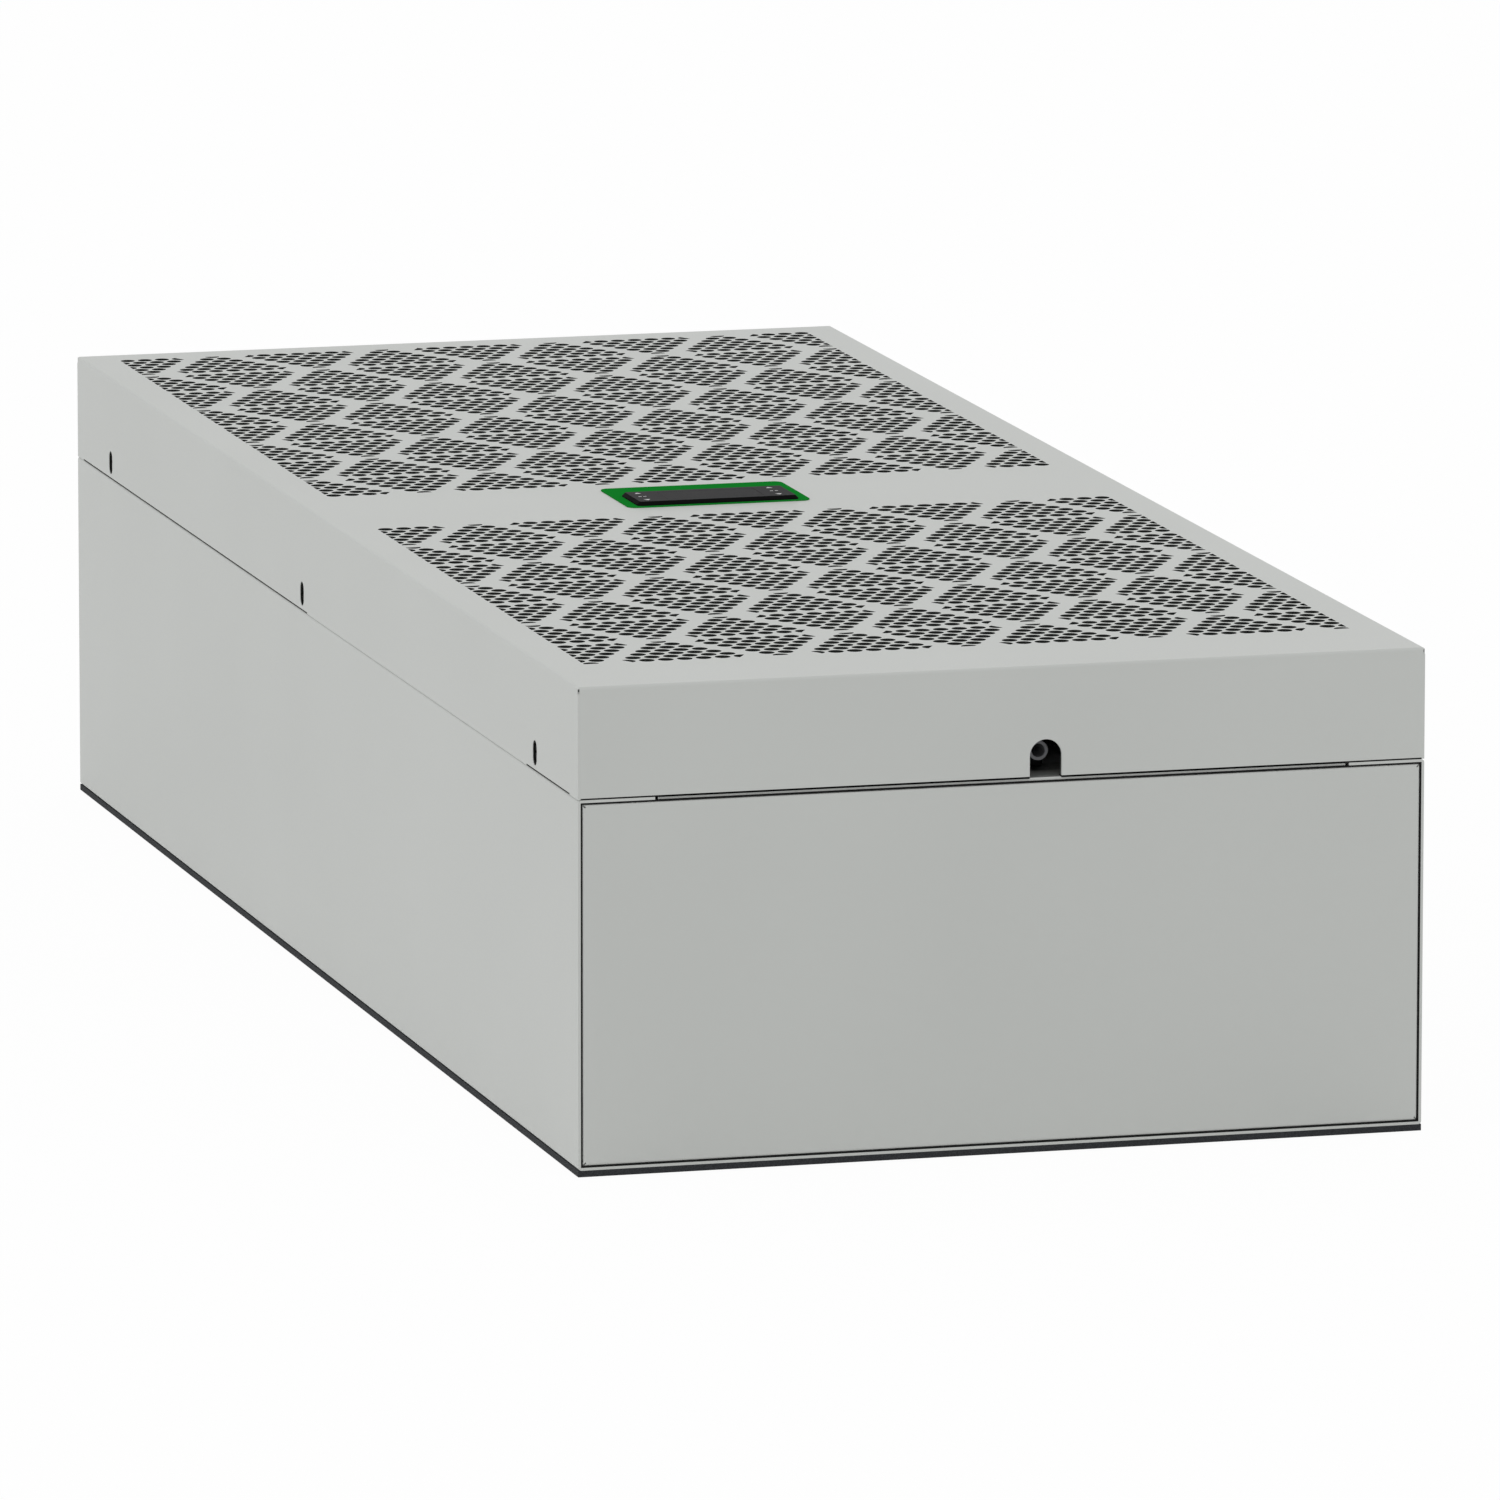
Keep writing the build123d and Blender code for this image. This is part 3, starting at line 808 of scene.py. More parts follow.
@dataclass
class PerforatedField:
    """One field of round holes in triangular groups, stamped in the cover's top sheet.

    Attributes:
        node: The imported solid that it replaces.
        start: Near edge of the first row of tiles.
        rows: How many rows of tiles it has.
        parity: Which tiles of the first row point away from the near end.
    """

    node: str
    start: float
    rows: int
    parity: int
    top: float = 225.0
    sheet: float = 1.25
    hole_radius: float = 3.65
    hole_pitch: float = 8.92
    group: int = 7
    base_margin: float = 6.0
    web: float = 9.65
    corner_clip: float = 0.3
    columns: int = 4
    field_half_width: float = 182.0
    plate_half_width: float = 190.0
    margin: float = 6.0
    hole_sides: int = 16
    least_sliver: float = 0.6

    @property
    def row_pitch(self) -> float:
        """Return the distance between rows of holes."""
        return self.hole_pitch * math.sqrt(3) / 2

    @property
    def tile_pitch(self) -> float:
        """Return the distance between the middles of neighbouring tiles."""
        return self.hole_pitch * (self.group + 3) / 2

    @property
    def tile_height(self) -> float:
        """Return how deep one row of tiles is."""
        return self.row_pitch * (self.group - 1) + self.web

    def _holes(self) -> list[tuple[Vector, Vector | None]]:
        """Return the middle of each hole of a tile that points away, and its clip's direction."""
        last = self.group - 1
        lean = math.radians(30)
        corners = {
            (0, 0): Vector((-math.cos(lean), -math.sin(lean), 0)),
            (0, last): Vector((math.cos(lean), -math.sin(lean), 0)),
            (last, 0): Vector((0, 1, 0)),
        }
        found = []
        for row in range(self.group):
            for place in range(self.group - row):
                across = (place - (last - row) / 2) * self.hole_pitch
                along = self.base_margin + row * self.row_pitch
                found.append((Vector((across, along, self.top)), corners.get((row, place))))
        return found

    def _borders(self, points_away: bool, edge: TileEdge) -> list[tuple[Vector, Vector]]:
        """Return a point on each side of a tile's outline and that side's outward direction.

        Args:
            points_away: Whether the tile's narrow end is its far end.
            edge: Where the tile stands in its row.

        Returns:
            The near, far, left and right sides, in this order.
        """
        slope = self.hole_pitch / 2 / self.row_pitch
        wide = (self.tile_pitch + slope * self.tile_height) / 2
        wide_y = 0 if points_away else self.tile_height
        reach = self.plate_half_width - self.columns * self.tile_pitch
        borders = [
            (Vector((0, 0, self.top)), Vector((0, -1, 0))),
            (Vector((0, self.tile_height, self.top)), Vector((0, 1, 0))),
        ]
        for side in (TileEdge.LEFT, TileEdge.RIGHT):
            hand = side.value
            if edge is side:
                point, away = Vector((hand * reach, 0, self.top)), Vector((hand, 0, 0))
            else:
                point = Vector((hand * wide, wide_y, self.top))
                away = Vector((hand, slope if points_away else -slope, 0)).normalized()
            borders.append((point, away))
        return borders

    def _tile(self, points_away: bool, edge: TileEdge) -> Piece:
        """Model one tile: an outline with its holes, pulled to the sheet's thickness.

        Args:
            points_away: Whether the tile's narrow end is its far end.
            edge: Where the tile stands in its row.

        Returns:
            The tile with no walls on its outline.
        """
        borders = self._borders(points_away, edge)
        size = (2 * self.tile_pitch, self.tile_height, 1)
        middle = (0, self.tile_height / 2, self.top)
        tile = added(bpy.ops.mesh.primitive_plane_add, size, middle, size=1)
        limit, hand = self.field_half_width - self.columns * self.tile_pitch, edge.value
        with editing(tile):
            for point, away in borders[2:]:
                everything()
                bpy.ops.mesh.bisect(plane_co=point, plane_no=away, clear_outer=True)
            for centre, clip in self._holes():
                if not points_away:
                    centre = Vector((centre.x, self.tile_height - centre.y, centre.z))
                    clip = clip and Vector((clip.x, -clip.y, 0))
                if hand and hand * centre.x - self.hole_radius > limit - self.least_sliver:
                    continue
                bpy.ops.mesh.select_all(action="DESELECT")
                bpy.ops.mesh.primitive_circle_add(
                    vertices=self.hole_sides,
                    radius=self.hole_radius,
                    fill_type="NGON",
                    location=centre,
                )
                if clip:
                    border = centre + clip * self.corner_clip
                    bpy.ops.mesh.bisect(plane_co=border, plane_no=clip, clear_outer=True)
                if hand and hand * centre.x + self.hole_radius > limit:
                    bpy.ops.mesh.select_linked()
                    border, away = (hand * limit, 0, 0), (hand, 0, 0)
                    bpy.ops.mesh.bisect(plane_co=border, plane_no=away, clear_outer=True)
            everything()
            bpy.ops.mesh.delete(type="ONLY_FACE")
            everything()
            bpy.ops.mesh.fill(use_beauty=True)
            everything()
            pull((0, 0, -self.sheet))
            everything()
            bpy.ops.mesh.normals_make_consistent(inside=False)
            choose(tile, Part.FACE, lambda face: self._is_border(face, borders))
            bpy.ops.mesh.delete(type="FACE")
        return tile

    @staticmethod
    def _is_border(face: bmesh.types.BMFace, borders: list[tuple[Vector, Vector]]) -> bool:
        """Say whether a face is a wall on a tile's outline."""
        middle = face.calc_center_median()
        return abs(face.normal.z) < 0.5 and any(
            abs((middle - point).dot(away)) < 2 * TOUCH for point, away in borders
        )

    def _close(self, plate: Piece) -> None:
        """Add the plain margins at both ends of a joined field and close its outer walls."""
        end = self.start + self.rows * self.tile_height
        with editing(plate):
            for level, step in ((self.start, -self.margin), (end, self.margin)):
                choose(
                    plate,
                    Part.EDGE,
                    lambda edge: edge.is_boundary
                    and all_corners(edge, lambda place: abs(place.y - level) < 2 * TOUCH),
                )
                bpy.ops.mesh.extrude_edges_move(TRANSFORM_OT_translate={"value": (0, step, 0)})
            middle = self.top - self.sheet / 2
            choose(
                plate,
                Part.EDGE,
                lambda edge: edge.is_boundary and all_corners(edge, lambda place: place.z > middle),
            )
            bpy.ops.mesh.extrude_edges_move(TRANSFORM_OT_translate={"value": (0, 0, -self.sheet)})
        weld(plate)

    def build(self) -> Piece:
        """Model the whole field and hand it over in place of its solid, its hole walls and
        underside dark as painted shade.
        """
        patterns = {
            (away, edge): self._tile(away, edge) for away in (True, False) for edge in TileEdge
        }
        tiles = []
        for row in range(self.rows):
            for column in range(-self.columns, self.columns + 1):
                points_away = (column + row) % 2 == self.parity
                tile = copy_of(patterns[(points_away, TileEdge(int(column / self.columns)))])
                tile.location = (column * self.tile_pitch, self.start + row * self.tile_height, 0)
                tiles.append(tile)
        plate = joined(tiles)
        discard(*patterns.values())
        weld(plate)
        self._close(plate)
        made = hand_over(plate, f"{self.node}_sheet", FINISH.paint, [self.node])
        # Painted shade: every face that does not face up, the hole walls and the underside, gets
        # the near-black finish.
        refinish(made, FINISH.hole_wall_shade, lambda face: face.normal.z < 0.5)
        return made


@dataclass
class Cover:
    """Folded cover: its painted sheet, two fields of holes and the liners of its slots."""

    half_width: float = 200.0
    slot_places: tuple[float, float, float] = (-423.3, 20.0, 426.0)
    slot_level: float = 181.7
    slot_width: float = 7.2
    slot_height: float = 11.7
    liner_wall: float = 0.9
    liner_depth: float = 3.2
    liner_hollow: float = 0.8
    liner_play: float = 0.05
    inset: float = 0.25
    screw_radius: float = 2.4
    screw_height: float = 1.6
    screw_middle: float = 0.6
    socket_depth: float = 2.0
    socket_middle: float = 1.8
    lower_rows: int = 7
    upper_rows: int = 8
    lower_start: float = -445.7
    upper_start: float = 36.9024

    def _stadium(self, hand: int, y: float, shrink: float, x: float) -> list[Triple]:
        """Return the outline of a slot.

        Args:
            hand: -1 for the left wall and 1 for the right.
            y: The slot's place along the unit.
            shrink: How far the outline stays inside the slot.
            x: The outline's place across the unit.

        Returns:
            Its corners.
        """
        radius = self.slot_width / 2 - shrink
        straight = self.slot_height / 2 - self.slot_width / 2
        steps = 8
        points = []
        for side, first in ((1, 0.0), (-1, math.pi)):
            level = self.slot_level + side * straight
            for step in range(steps + 1):
                turn = first + math.pi * step / steps
                along, up = radius * math.cos(turn) * hand, radius * math.sin(turn)
                points.append((x, y + along, level + up))
        return points

    def _liner(self, hand: int, y: float) -> Piece:
        """Model the black liner in one slot, painted shade that darkens the slot, with a screw head
        at its bottom.
        """
        face = hand * (self.half_width - self.inset)
        depth = -hand * self.liner_depth
        cup = prism(self._stadium(hand, y, self.liner_play, face), (depth, 0, 0))
        with editing(cup):
            choose(cup, Part.FACE, lambda side: side.normal.x * hand > 0.9)
            bpy.ops.mesh.inset(thickness=self.liner_wall, depth=0)
            pull((depth * self.liner_hollow, 0, 0))
        turn = (0, math.pi / 2, 0)
        seat = face + depth * self.liner_hollow
        head_at = (seat + hand * self.screw_middle, y, self.slot_level)
        socket_at = (seat + hand * self.socket_middle, y, self.slot_level)
        head = rod(self.screw_radius, self.screw_height, head_at, 24, turn)
        cut(head, rod(self.screw_radius / 2, self.socket_depth, socket_at, 6, turn))
        bevelled(head, 0.3, 2)
        return joined([cup, head])

    def build(self) -> None:
        """Dress the folded sheet and build what goes in it."""
        dress(FINISH.paint, "cover")
        PerforatedField("lower_grille", self.lower_start, self.lower_rows, 1).build()
        PerforatedField("upper_grille", self.upper_start, self.upper_rows, 0).build()
        for label, hand in (("left", -1), ("right", 1)):
            for number, y in enumerate(self.slot_places, start=1):
                dress(FINISH.zinc, f"cover_tab_{label}_{number}")
                name = f"slot_liner_{label}_{number}"
                hand_over(self._liner(hand, y), name, FINISH.plug)


# Housing


@dataclass
class Housing:
    """Folded housing, its mounting face and the rivet nuts in it."""

    nut_x: float = 176.0
    nut_y: float = 476.0
    web: float = 3.0
    head_radius: float = 6.8
    barrel_radius: float = 4.4
    bore_radius: float = 2.5
    length: float = 14.0
    collar: float = 1.1
    edge: float = 0.4

    def _nut(self, x: float, y: float) -> Piece:
        """Model one rivet nut: thin head, bulged collar, barrel and bore."""
        head, barrel, bore = self.head_radius, self.barrel_radius, self.bore_radius
        edge, collar, end = self.edge, self.barrel_radius + self.collar, self.length
        profile = [(bore + edge, -1.0), (head - 0.3, -1.0), (head, -0.7), (head, 0.0)]
        profile += [(barrel, 0.0), (barrel, 1.3), (collar, 2.2), (collar, 3.2), (barrel, 4.2)]
        profile += [(barrel, end - edge), (barrel - edge, end), (bore, end), (bore, -0.6)]
        return turned(profile, (x, y, self.web), 24)

    def build(self) -> None:
        """Dress the folded sheets and replace the rivet nuts."""
        dress(FINISH.paint, "housing_wrapper", "lower_end_panel", "upper_end_panel")
        dress(FINISH.foam, "gasket")
        # The deck's near-black finish is painted shade.
        dress(FINISH.deck, "deck")
        rows = (-self.nut_y, 0, self.nut_y)
        nuts = [self._nut(side * self.nut_x, y) for side in (-1, 1) for y in rows]
        hand_over(joined(nuts), "rivet_nuts", FINISH.hardware, ["fixing_nuts"])


@dataclass
class SeamShadeStrips:
    """Black strips as painted shade in the seams: round the end panels, under the cover and in its
    reliefs.
    """

    sheet: float = 1.25
    setback: float = 0.2
    reach: float = 4.0
    slack: float = 0.02
    cover_bottom: float = 174.0
    housing_top: float = 173.25
    cap: float = 0.1
    lip_drop: float = 0.3
    lip_depth: float = 0.68
    deck_half: float = 162.4
    arch: Pair = (12.05, 27.15)
    reliefs: tuple[Pair, Pair] = ((-485.0, -408.0), (10.0, 487.0))
    relief_foot: float = 173.4
    relief_height: float = 0.7
    corner_notch: float = 0.8
    corner_setback: float = 0.35
    corner_levels: Pair = (222.8, 224.08)

    def _round_panel(self, node: str, hand: int) -> Piece:
        """Model the strip that fills the seam between an end panel and the wrapper."""
        low, high = extent(node)
        low_wrap, high_wrap = extent("housing_wrapper")
        face = low.y if hand < 0 else high.y
        centre_y = face - hand * (self.setback + self.reach / 2)
        inside = 2 * (self.sheet + self.slack)
        outer = (high_wrap.x - low_wrap.x - inside, self.reach, high_wrap.z - low_wrap.z - inside)
        inner = (high.x - low.x + 2 * self.slack, 2 * self.reach, high.z - low.z + 2 * self.slack)
        strip = box(outer, (0, centre_y, (low_wrap.z + high_wrap.z) / 2))
        return cut(strip, box(inner, (0, centre_y, (low.z + high.z) / 2)))

    def _under_cover(self, hand: int) -> Piece:
        """Model the strips behind the lower edge of the cover's end wall."""
        low, high = extent("cover")
        face = low.y if hand < 0 else high.y
        reach = high.x - self.sheet - self.slack
        gaps = [self.arch] if hand < 0 else []
        ends = [-reach, *(edge for gap in gaps for edge in gap), reach]
        bottom = self.housing_top + self.cap
        height = self.cover_bottom - bottom - 2 * self.slack
        middle = (self.cover_bottom + bottom) / 2
        centre_y = face - hand * (self.setback + self.reach / 2)
        lip_y = face - hand * (self.setback + self.lip_depth / 2)
        bars = []
        for start, end in zip(ends[::2], ends[1::2]):
            size = (end - start - self.slack, self.reach, height)
            bars.append(box(size, ((start + end) / 2, centre_y, middle)))
            start, end = max(start, -self.deck_half), min(end, self.deck_half)
            size = (end - start - self.slack, self.lip_depth, height + self.lip_drop)
            bars.append(box(size, ((start + end) / 2, lip_y, middle - self.lip_drop / 2)))
        return joined(bars)

    def _in_reliefs(self, hand: int) -> Piece:
        """Model the strips behind the two shallow reliefs in the lower edge of a long wall."""
        centre_x = hand * (extent("cover")[1].x - self.setback - self.sheet / 2)
        height = self.relief_height - 2 * self.slack
        middle = self.relief_foot + self.relief_height / 2
        bars = [
            box(
                (self.sheet, end - start - self.slack, height),
                (centre_x, (start + end) / 2, middle),
            )
            for start, end in self.reliefs
        ]
        return joined(bars)

    def _in_corners(self) -> Piece:
        """Model the black fillers, painted shade, of the small reliefs at the cover's four top
        corners.
        """
        high = extent("cover")[1]
        size = self.corner_notch - self.corner_setback - self.slack
        away = self.corner_setback + size / 2
        low, top = self.corner_levels
        x, y = high.x - away, high.y - away
        places = [(side * x, end * y, (low + top) / 2) for side in (-1, 1) for end in (-1, 1)]
        return joined([box((size, size, top - low), place) for place in places])

    def build(self) -> None:
        """Build the strips of both ends, both long sides and the top corners."""
        # Every strip here is painted shade: a black piece that makes a seam read dark.
        for name, node, hand in (("lower", "lower_end_panel", -1), ("upper", "upper_end_panel", 1)):
            hand_over(self._round_panel(node, hand), f"{name}_panel_seam_shade", FINISH.seam_shade)
            hand_over(self._under_cover(hand), f"{name}_cover_seam_shade", FINISH.seam_shade)
        for name, hand in (("left", -1), ("right", 1)):
            hand_over(self._in_reliefs(hand), f"{name}_relief_seam_shades", FINISH.seam_shade)
        hand_over(self._in_corners(), "corner_relief_shade_fillers", FINISH.seam_shade)


@dataclass
class DeckCaps:
    """Painted edge caps folded over both ends of the deck."""

    sheet: float = 1.25
    skin: float = 0.1
    leg: float = 17.0
    slack: float = 0.02
    half_width: float = 162.4

    def _cap(self, hand: int) -> Piece:
        """Model one cap: a narrow face on the deck's end and a leg that lies on its top."""
        low, high = extent("deck")
        end, top = low.y if hand < 0 else high.y, high.z
        outer, inner, leg = end + hand * self.skin, end + hand * self.slack, end - hand * self.leg
        foot = top - self.sheet + self.slack
        section = [(leg, top + self.skin), (outer, top + self.skin), (outer, foot), (inner, foot)]
        section += [(inner, top + self.slack), (leg, top + self.slack)]
        return prism([(-self.half_width, y, z) for y, z in section], (2 * self.half_width, 0, 0))

    def build(self) -> None:
        """Build the caps of both ends, the tops of their legs darker as painted shade."""
        for name, hand in (("lower", -1), ("upper", 1)):
            cap = hand_over(self._cap(hand), f"{name}_deck_cap", FINISH.paint)
            # Painted shade: the upward faces of the leg get the half-bright paint.
            refinish(cap, FINISH.cap_leg_shade, lambda face: face.normal.z > 0.5)


# Display


@dataclass
class Display:
    """Green bezel film and the raised display module with its pane and key marks."""

    centre: Pair = (-5.1, -13.2)
    size: Pair = (80.7, 32.0)
    bottom: float = 225.5
    height: float = 1.97
    corner: float = 2.5
    slope: float = 1.45
    pane: Pair = (48.0, 20.0)
    seam: float = 0.1
    seam_depth: float = 0.3
    mark_places: Pair = (-33.9, 31.9)
    mark_pitch: float = 9.3
    mark_radius: float = 1.9
    bar: Pair = (1.5, 1.0)
    bar_gap: float = 0.9
    mark_height: float = 0.05

    def _body(self) -> Piece:
        """Model the moulding: rounded block, sloped rim and a fine seam round the pane."""
        x, y = self.centre
        top = self.bottom + self.height
        body = box((*self.size, self.height), (x, y, self.bottom + self.height / 2))
        with editing(body):
            choose(body, Part.EDGE, lambda edge: abs(edge.verts[0].co.z - edge.verts[1].co.z) > 1)
            bpy.ops.mesh.bevel(offset=self.corner, segments=4, affect="EDGES")
            choose(body, Part.FACE, lambda face: face.normal.z > 0.9)
            bpy.ops.mesh.inset(thickness=self.slope, depth=0)
            choose(
                body,
                Part.EDGE,
                lambda edge: any(face.normal.z < 0.5 for face in edge.link_faces)
                and all_corners(edge, lambda place: place.z > self.bottom + 1),
            )
            bpy.ops.transform.translate(value=(0, 0, -self.slope))
        cut(body, box((*self.pane, 2 * self.seam_depth), (x, y, top)))
        inner = (self.pane[0] - 2 * self.seam, self.pane[1] - 2 * self.seam, self.seam_depth)
        plug = bevelled(box(inner, (x, y, top - self.seam_depth / 2)), 0.08, 1)
        hand_over(plug, "display_pane", FINISH.pane)
        return body

    def _marks(self) -> Piece:
        """Model an arrow up, two bars and an arrow down at each side of the pane."""
        x, y = self.centre
        level = self.bottom + self.height
        marks = []
        for place in self.mark_places:
            for hand in (1, -1):
                middle = (x + place, y + hand * self.mark_pitch, level)
                turn = (0, 0, 0 if hand > 0 else math.pi)
                marks.append(rod(self.mark_radius, self.mark_height, middle, 3, turn))
                step = hand * (self.bar[0] + self.bar_gap) / 2
                marks.append(box((*self.bar, self.mark_height), (x + place + step, y, level)))
        return joined(marks)

    def build(self) -> None:
        """Dress the bezel and replace the module."""
        dress(FINISH.green, "display_bezel")
        solids = ["display_module"]
        body = hand_over(self._body(), "display_housing", FINISH.case, solids, 25)
        refinish(body, FINISH.pane, lambda face: face.normal.z > 0.9)
        hand_over(self._marks(), "key_marks", FINISH.marks)


# Heat exchangers, fans and drain


@dataclass
class Coil:
    """Finned heat exchanger core between two tube sheets.

    Attributes:
        name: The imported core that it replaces.
        half_width: Half of its reach across the unit.
        half_length: Half of its reach along the unit.
        middle: Its middle along the unit.
        bottom: Its lowest level.
        height: How tall its fins are.
    """

    name: str
    half_width: float
    half_length: float
    middle: float
    bottom: float
    height: float
    fin_pitch: float = 2.2
    fin_thickness: float = 0.2
    ripple: float = 0.35
    ripple_steps: int = 38

    def build(self) -> Piece:
        """Model rippled fins in a row and hand them over."""
        count = int((2 * self.half_width - 1) / self.fin_pitch) + 1
        first = -(count - 1) * self.fin_pitch / 2
        turn = (math.pi / 2, 0, math.pi / 2)
        fin = added(
            bpy.ops.mesh.primitive_grid_add,
            x_subdivisions=self.ripple_steps,
            y_subdivisions=1,
            size=1,
            rotation=turn,
        )
        fin.scale = (1, 2 * self.half_length, self.height)
        fin.location = (first, self.middle, self.bottom + self.height / 2)
        settle(fin)
        step = 2 * self.half_length / self.ripple_steps
        start = self.middle - self.half_length
        with editing(fin):
            choose(fin, Part.VERTEX, lambda vertex: round((vertex.co.y - start) / step) % 2 == 1)
            bpy.ops.transform.translate(value=(self.ripple, 0, 0))
        modified(fin, "SOLIDIFY", thickness=self.fin_thickness)
        weld(fin, TOUCH / 5)
        modified(
            fin,
            "ARRAY",
            count=count,
            use_relative_offset=False,
            use_constant_offset=True,
            constant_offset_displace=(self.fin_pitch, 0, 0),
        )
        # The fins' near-black finish is painted shade.
        return hand_over(fin, f"{self.name}_fins", FINISH.fins, [self.name], angle=60)


@dataclass
class PipeBends:
    """Return bends of a coil, bent from round copper pipe.

    Attributes:
        face: The tube sheet's outer face, across the unit.
        hand: -1 for bends that stand out to the left, 1 to the right.
        pairs: Near end of each bend along the unit.
    """

    face: float
    hand: int
    pairs: Sequence[float]
    level: float = 193.25
    pitch: float = 38.0
    pipe_radius: float = 4.0
    bend_radius: float = 7.0
    stub: float = 1.5
    sides: int = 14
    steps: int = 6

    def _bend(self, y: float) -> Piece:
        """Model one return bend: stub, elbow, run, elbow, stub."""
        hand = self.hand
        out = self.face + hand * self.stub
        pipe = added(
            bpy.ops.mesh.primitive_circle_add,
            place=(self.face, y, self.level),
            vertices=self.sides,
            radius=self.pipe_radius,
            fill_type="NGON",
            rotation=(0, math.pi / 2, 0),
        )
        straight = self.pitch - 2 * self.bend_radius
        with editing(pipe):
            everything()
            pull((hand * self.stub, 0, 0))
            near = y + self.bend_radius
            back = (-hand * self.stub, 0, 0)
            for middle, last in ((near, (0, straight, 0)), (near + straight, back)):
                bpy.ops.mesh.spin(
                    steps=self.steps,
                    angle=-hand * math.pi / 2,
                    center=(out, middle, self.level),
                    axis=(0, 0, 1),
                )
                pull(last)
        weld(pipe)
        return pipe

    def build(self, name: str, stands_for: Sequence[str] = ()) -> Piece:
        """Model all bends and hand them over under a name."""
        bends = [self._bend(y) for y in self.pairs]
        return hand_over(joined(bends), name, FINISH.copper, stands_for, angle=50)


@dataclass
class CondenserSide:
    """What stands on the deck under the perforated cover."""

    coil_middle: float = -249.7
    coil_half_length: float = 190.0
    coil_half_width: float = 160.0
    coil_bottom: float = 176.25
    coil_height: float = 34.0
    tube_sheet: float = 1.25
    pairs: int = 5
    pair_pitch: float = 76.0
    tube_pitch: float = 38.0
    fan_y: float = 260.9
    fan_bottom: float = 185.25
    hub_radius: float = 40.0
    hub_height: float = 22.0
    tip_radius: float = 107.5
    blades: int = 7

    def _blade(self) -> Piece:
        """Model one fan blade: a chord pulled outwards, widened, swept and flattened on the way."""
        steps = 6
        chord, thickness, camber, growth = 30.0, 2.0, 3.2, 1.13
        pitch, untwist, sweep = math.radians(30), math.radians(14), 14.0
        start = self.hub_radius - 3
        reach = self.tip_radius - start
        middle = self.fan_bottom + self.hub_height / 2
        turn = (0, 0, math.pi / 2)
        blade = added(
            bpy.ops.mesh.primitive_grid_add,
            x_subdivisions=steps,
            y_subdivisions=1,
            size=1,
            rotation=turn,
        )
        blade.scale = (1, chord, 1)
        settle(blade)
        with editing(blade):
            choose(blade, Part.VERTEX, lambda vertex: vertex.co.x > 0)
            bpy.ops.mesh.delete(type="VERT")
            for rank in range(3):
                choose(
                    blade, Part.VERTEX, lambda point: round(abs(point.co.y) * steps / chord) == rank
                )
                bpy.ops.transform.translate(value=(0, 0, camber * (1 - (rank / 3) ** 2)))
            choose(blade, Part.VERTEX, lambda vertex: True)
            bpy.ops.transform.translate(value=(start + 0.5, 0, 0))
            bpy.ops.transform.rotate(value=-pitch, orient_axis="X", center_override=(0, 0, 0))
            swept = 0.0
            for step in range(1, steps + 1):
                lag = sweep * (step / steps) ** 2 - swept
                swept += lag
                out = {"value": (reach / steps, lag, 0)}
                bpy.ops.mesh.extrude_edges_move(TRANSFORM_OT_translate=out)
                line, twist = (0, swept, 0), untwist / steps
                bpy.ops.transform.resize(value=(1, growth, growth), center_override=line)
                bpy.ops.transform.rotate(value=twist, orient_axis="X", center_override=line)
        modified(blade, "SOLIDIFY", thickness=thickness, offset=0)
        bevelled(blade, 0.6, 2, 60)
        blade.location = (0, 0, middle)
        settle(blade)
        tip = rod(self.tip_radius, 4 * self.hub_height, (0, 0, middle), 96)
        return combined(blade, tip, "INTERSECT")

    def _rotor(self) -> Piece:
        """Model the fan's hub with its blades round it."""
        radius, height, shoulder, edge, dish = self.hub_radius, self.hub_height, 4, 1.2, 1.5
        profile = [(AXIS, 0), (radius, 0), (radius, height - shoulder)]
        profile += [(radius - edge, height - edge), (radius - shoulder, height), (14, height)]
        profile += [(12, height - dish), (AXIS, height - dish)]
        hub = turned(profile, (0, self.fan_y, self.fan_bottom), 48)
        return joined([hub, *fan_of(self._blade(), self.blades, self.fan_y)])

    def build(self) -> None:
        """Build the condenser and its fan, and dress the sheets round them."""
        # Painted shade: the sheets under the cover get the darkened zinc.
        dress(FINISH.inner, "condenser_plate_left", "condenser_plate_right")
        dress(FINISH.inner, "condenser_fan_plate", "control_box")
        dress(FINISH.casting, "condenser_fan_base")
        Coil(
            "condenser_core",
            self.coil_half_width,
            self.coil_half_length,
            self.coil_middle,
            self.coil_bottom,
            self.coil_height,
        ).build()
        face = self.coil_half_width + self.tube_sheet
        first = self.coil_middle - self.tube_pitch / 2
        half = self.pairs // 2
        starts = [first + (pair - half) * self.pair_pitch for pair in range(self.pairs)]
        PipeBends(-face, -1, starts).build("condenser_return_bends", ["condenser_bends"])
        between = [start + self.tube_pitch for start in starts[:-1]]
        PipeBends(face, 1, between).build("condenser_far_bends")
        hand_over(self._rotor(), "condenser_fan", FINISH.fan, ["condenser_fan_rotor"], 40)


